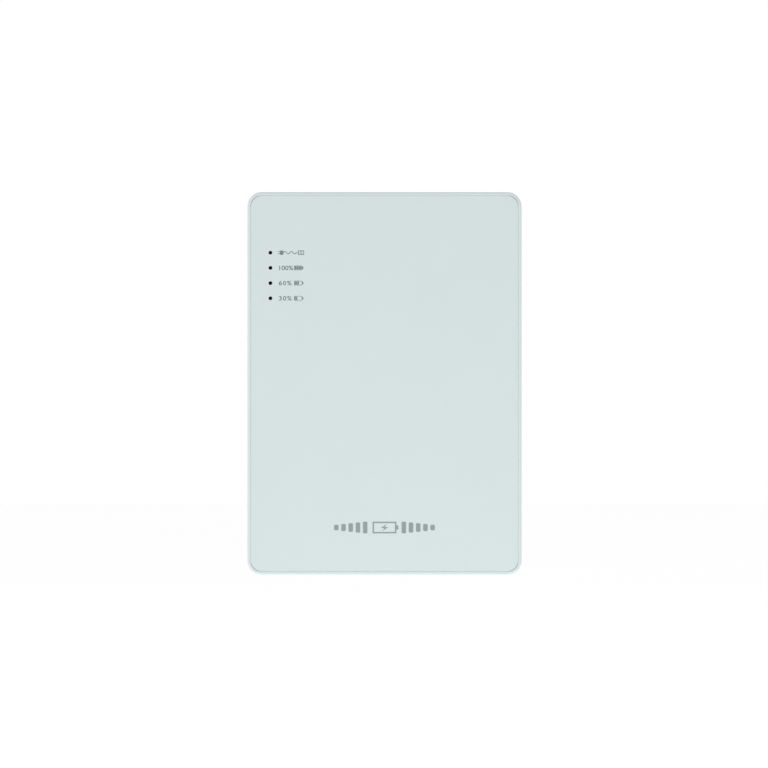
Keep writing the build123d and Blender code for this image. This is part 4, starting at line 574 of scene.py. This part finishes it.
# ---------------------------------------------------------------- rating label
label_low, label_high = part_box("rating_label")

# the label's print, in millimetres from its lower left corner
LABEL_EDGE, LABEL_LINE = 2.2, 0.22
ROW_COUNT, ROW_DROP, ROW_PITCH, ROW_H = 7, 9.0, 4.4, 1.3
NAME_X, NAME_W = 2.5, 11.0  # short bars, from the ruled panel
VALUE_X, VALUE_W, VALUE_STEP = 16.5, 17.0, 5.0  # long bars of four lengths, from the ruled panel
VALUE_CLEAR = 21.0  # kept free at the right
SQUARE_FROM, SQUARE_TO, SQUARE_LOW, SQUARE_HIGH = 17.0, 6.0, 6.0, 17.0  # the first two from the right
SQUARE_LINE, SQUARE_INSET = 0.5, 2.5
STRIPE_FROM, STRIPE_PITCH, STRIPE_COUNT = 17.4, 0.86, 14  # the first from the right
STRIPE_LOW, STRIPE_HIGH = 22.0, 32.0
STRIPE_WIDE, STRIPE_THIN = 0.5, 0.3


def on_label(x, z):
    """The rating label, seen from behind, with flat zero at this x and z."""
    return sheet((x, label_high.y, z), (-1, 0, 0), (0, 0, 1))


def label_lines():
    """A ruled panel with plain bars where a maker would print words."""
    width = (label_high.x - label_low.x) / MM
    height = (label_high.z - label_low.z) / MM
    shapes = frame_bars(LABEL_EDGE, LABEL_EDGE, width - LABEL_EDGE, height - LABEL_EDGE, LABEL_LINE)
    for row in range(ROW_COUNT):
        low = height - ROW_DROP - row * ROW_PITCH
        name_left = LABEL_EDGE + NAME_X
        value_left = LABEL_EDGE + VALUE_X
        value_right = value_left + VALUE_W + VALUE_STEP * ((row * 3) % 4)
        shapes.append(bar(name_left, low, name_left + NAME_W, low + ROW_H))
        shapes.append(bar(value_left, low, min(value_right, width - VALUE_CLEAR), low + ROW_H))
    for inset in (0.0, SQUARE_INSET):
        left, right = width - SQUARE_FROM + inset, width - SQUARE_TO - inset
        shapes += frame_bars(left, SQUARE_LOW + inset, right, SQUARE_HIGH - inset, SQUARE_LINE)
    for step in range(STRIPE_COUNT):
        left = width - STRIPE_FROM + step * STRIPE_PITCH
        stripe_w = STRIPE_WIDE if step % 3 else STRIPE_THIN
        shapes.append(bar(left, STRIPE_LOW, left + stripe_w, STRIPE_HIGH))
    return shapes


printed("label_print", label_lines(), on_label(label_high.x, label_low.z), DARK_INK)


# ---------------------------------------------------------------- studio
WHITE = (1.0, 1.0, 1.0, 1.0)
FLOOR_W = 12.0
FLOOR_DROP = 0.16  # lower end of the unit to the floor
FLOOR_GRAIN = 0.4
FLOOR_GLOW = 0.4
FLOOR_DARK, FLOOR_LIGHT = (0.93, 0.93, 0.93), (0.96, 0.96, 0.96)
ROOM_GLOW = 0.62  # what the backdrop lights the unit with
LIGHTS = (  # name, place, width, watts
    ("key", (-0.9, -1.5, 1.0), 1.2, 4.7),
    ("low", (0.03, -0.34, -0.23), 0.1, 0.1),
    ("back", (0.8, 1.5, 0.9), 1.2, 8.0),
    ("left_side", (-1.5, 0.4, 0.5), 1.0, 4.0),
)


def area_light(name, place, target, size, power):
    """A square white light that points at a place."""
    light = bpy.data.lights.new(name, "AREA")
    light.shape = "SQUARE"
    light.size = size
    light.energy = power
    holder = bpy.data.objects.new(name, light)
    holder.location = place
    holder.rotation_euler = (Vector(target) - Vector(place)).to_track_quat("-Z", "Y").to_euler()
    scene.collection.objects.link(holder)


def studio_floor(z):
    """A wide pale floor well below the unit."""
    bpy.ops.mesh.primitive_plane_add(size=FLOOR_W, location=(0, 0, z))
    floor = bpy.context.object
    floor.name = "studio_floor"
    material, nodes, links, shader = new_material("studio_floor")
    cloud = noise(nodes, links, place_coords(nodes, links), FLOOR_GRAIN)
    links.new(mixed(nodes, links, cloud, FLOOR_DARK, FLOOR_LIGHT), shader.inputs["Base Color"])
    shader.inputs["Roughness"].default_value = 0.7
    shader.inputs["Specular IOR Level"].default_value = 0.1
    shader.inputs["Emission Color"].default_value = WHITE
    shader.inputs["Emission Strength"].default_value = FLOOR_GLOW
    floor.data.materials.append(material)


def studio_world():
    """A white backdrop for the camera, which lights the unit less brightly than it looks."""
    world = bpy.data.worlds.new("studio")
    scene.world = world
    world.use_nodes = True
    nodes, links = world.node_tree.nodes, world.node_tree.links
    backdrop = nodes["Background"]
    backdrop.inputs["Color"].default_value = WHITE
    backdrop.inputs["Strength"].default_value = 1.0
    room = nodes.new("ShaderNodeBackground")
    room.inputs["Color"].default_value = WHITE
    room.inputs["Strength"].default_value = ROOM_GLOW
    path = nodes.new("ShaderNodeLightPath")
    either = nodes.new("ShaderNodeMixShader")
    links.new(path.outputs["Is Camera Ray"], either.inputs["Fac"])
    links.new(room.outputs["Background"], either.inputs[1])
    links.new(backdrop.outputs["Background"], either.inputs[2])
    links.new(either.outputs["Shader"], nodes["World Output"].inputs["Surface"])


centre = Vector([(low + high) / 2 for low, high in zip(*CAD_BOX)])
studio_world()
studio_floor(CAD_BOX[0][2] - FLOOR_DROP)
for name, place, width, watts in LIGHTS:
    area_light(name, place, centre, width, watts)

camera = bpy.data.cameras.new("camera")
camera.sensor_width = 36.0
camera.lens = camera.sensor_width * CAMERA_GAP / VIEW_W
eye = bpy.data.objects.new("camera", camera)
eye.location = (centre.x - AIM_LEFT, CAD_BOX[0][1] - CAMERA_GAP, centre.z - AIM_DROP)
eye.rotation_euler = (pi / 2, 0, 0)
scene.collection.objects.link(eye)
scene.camera = eye
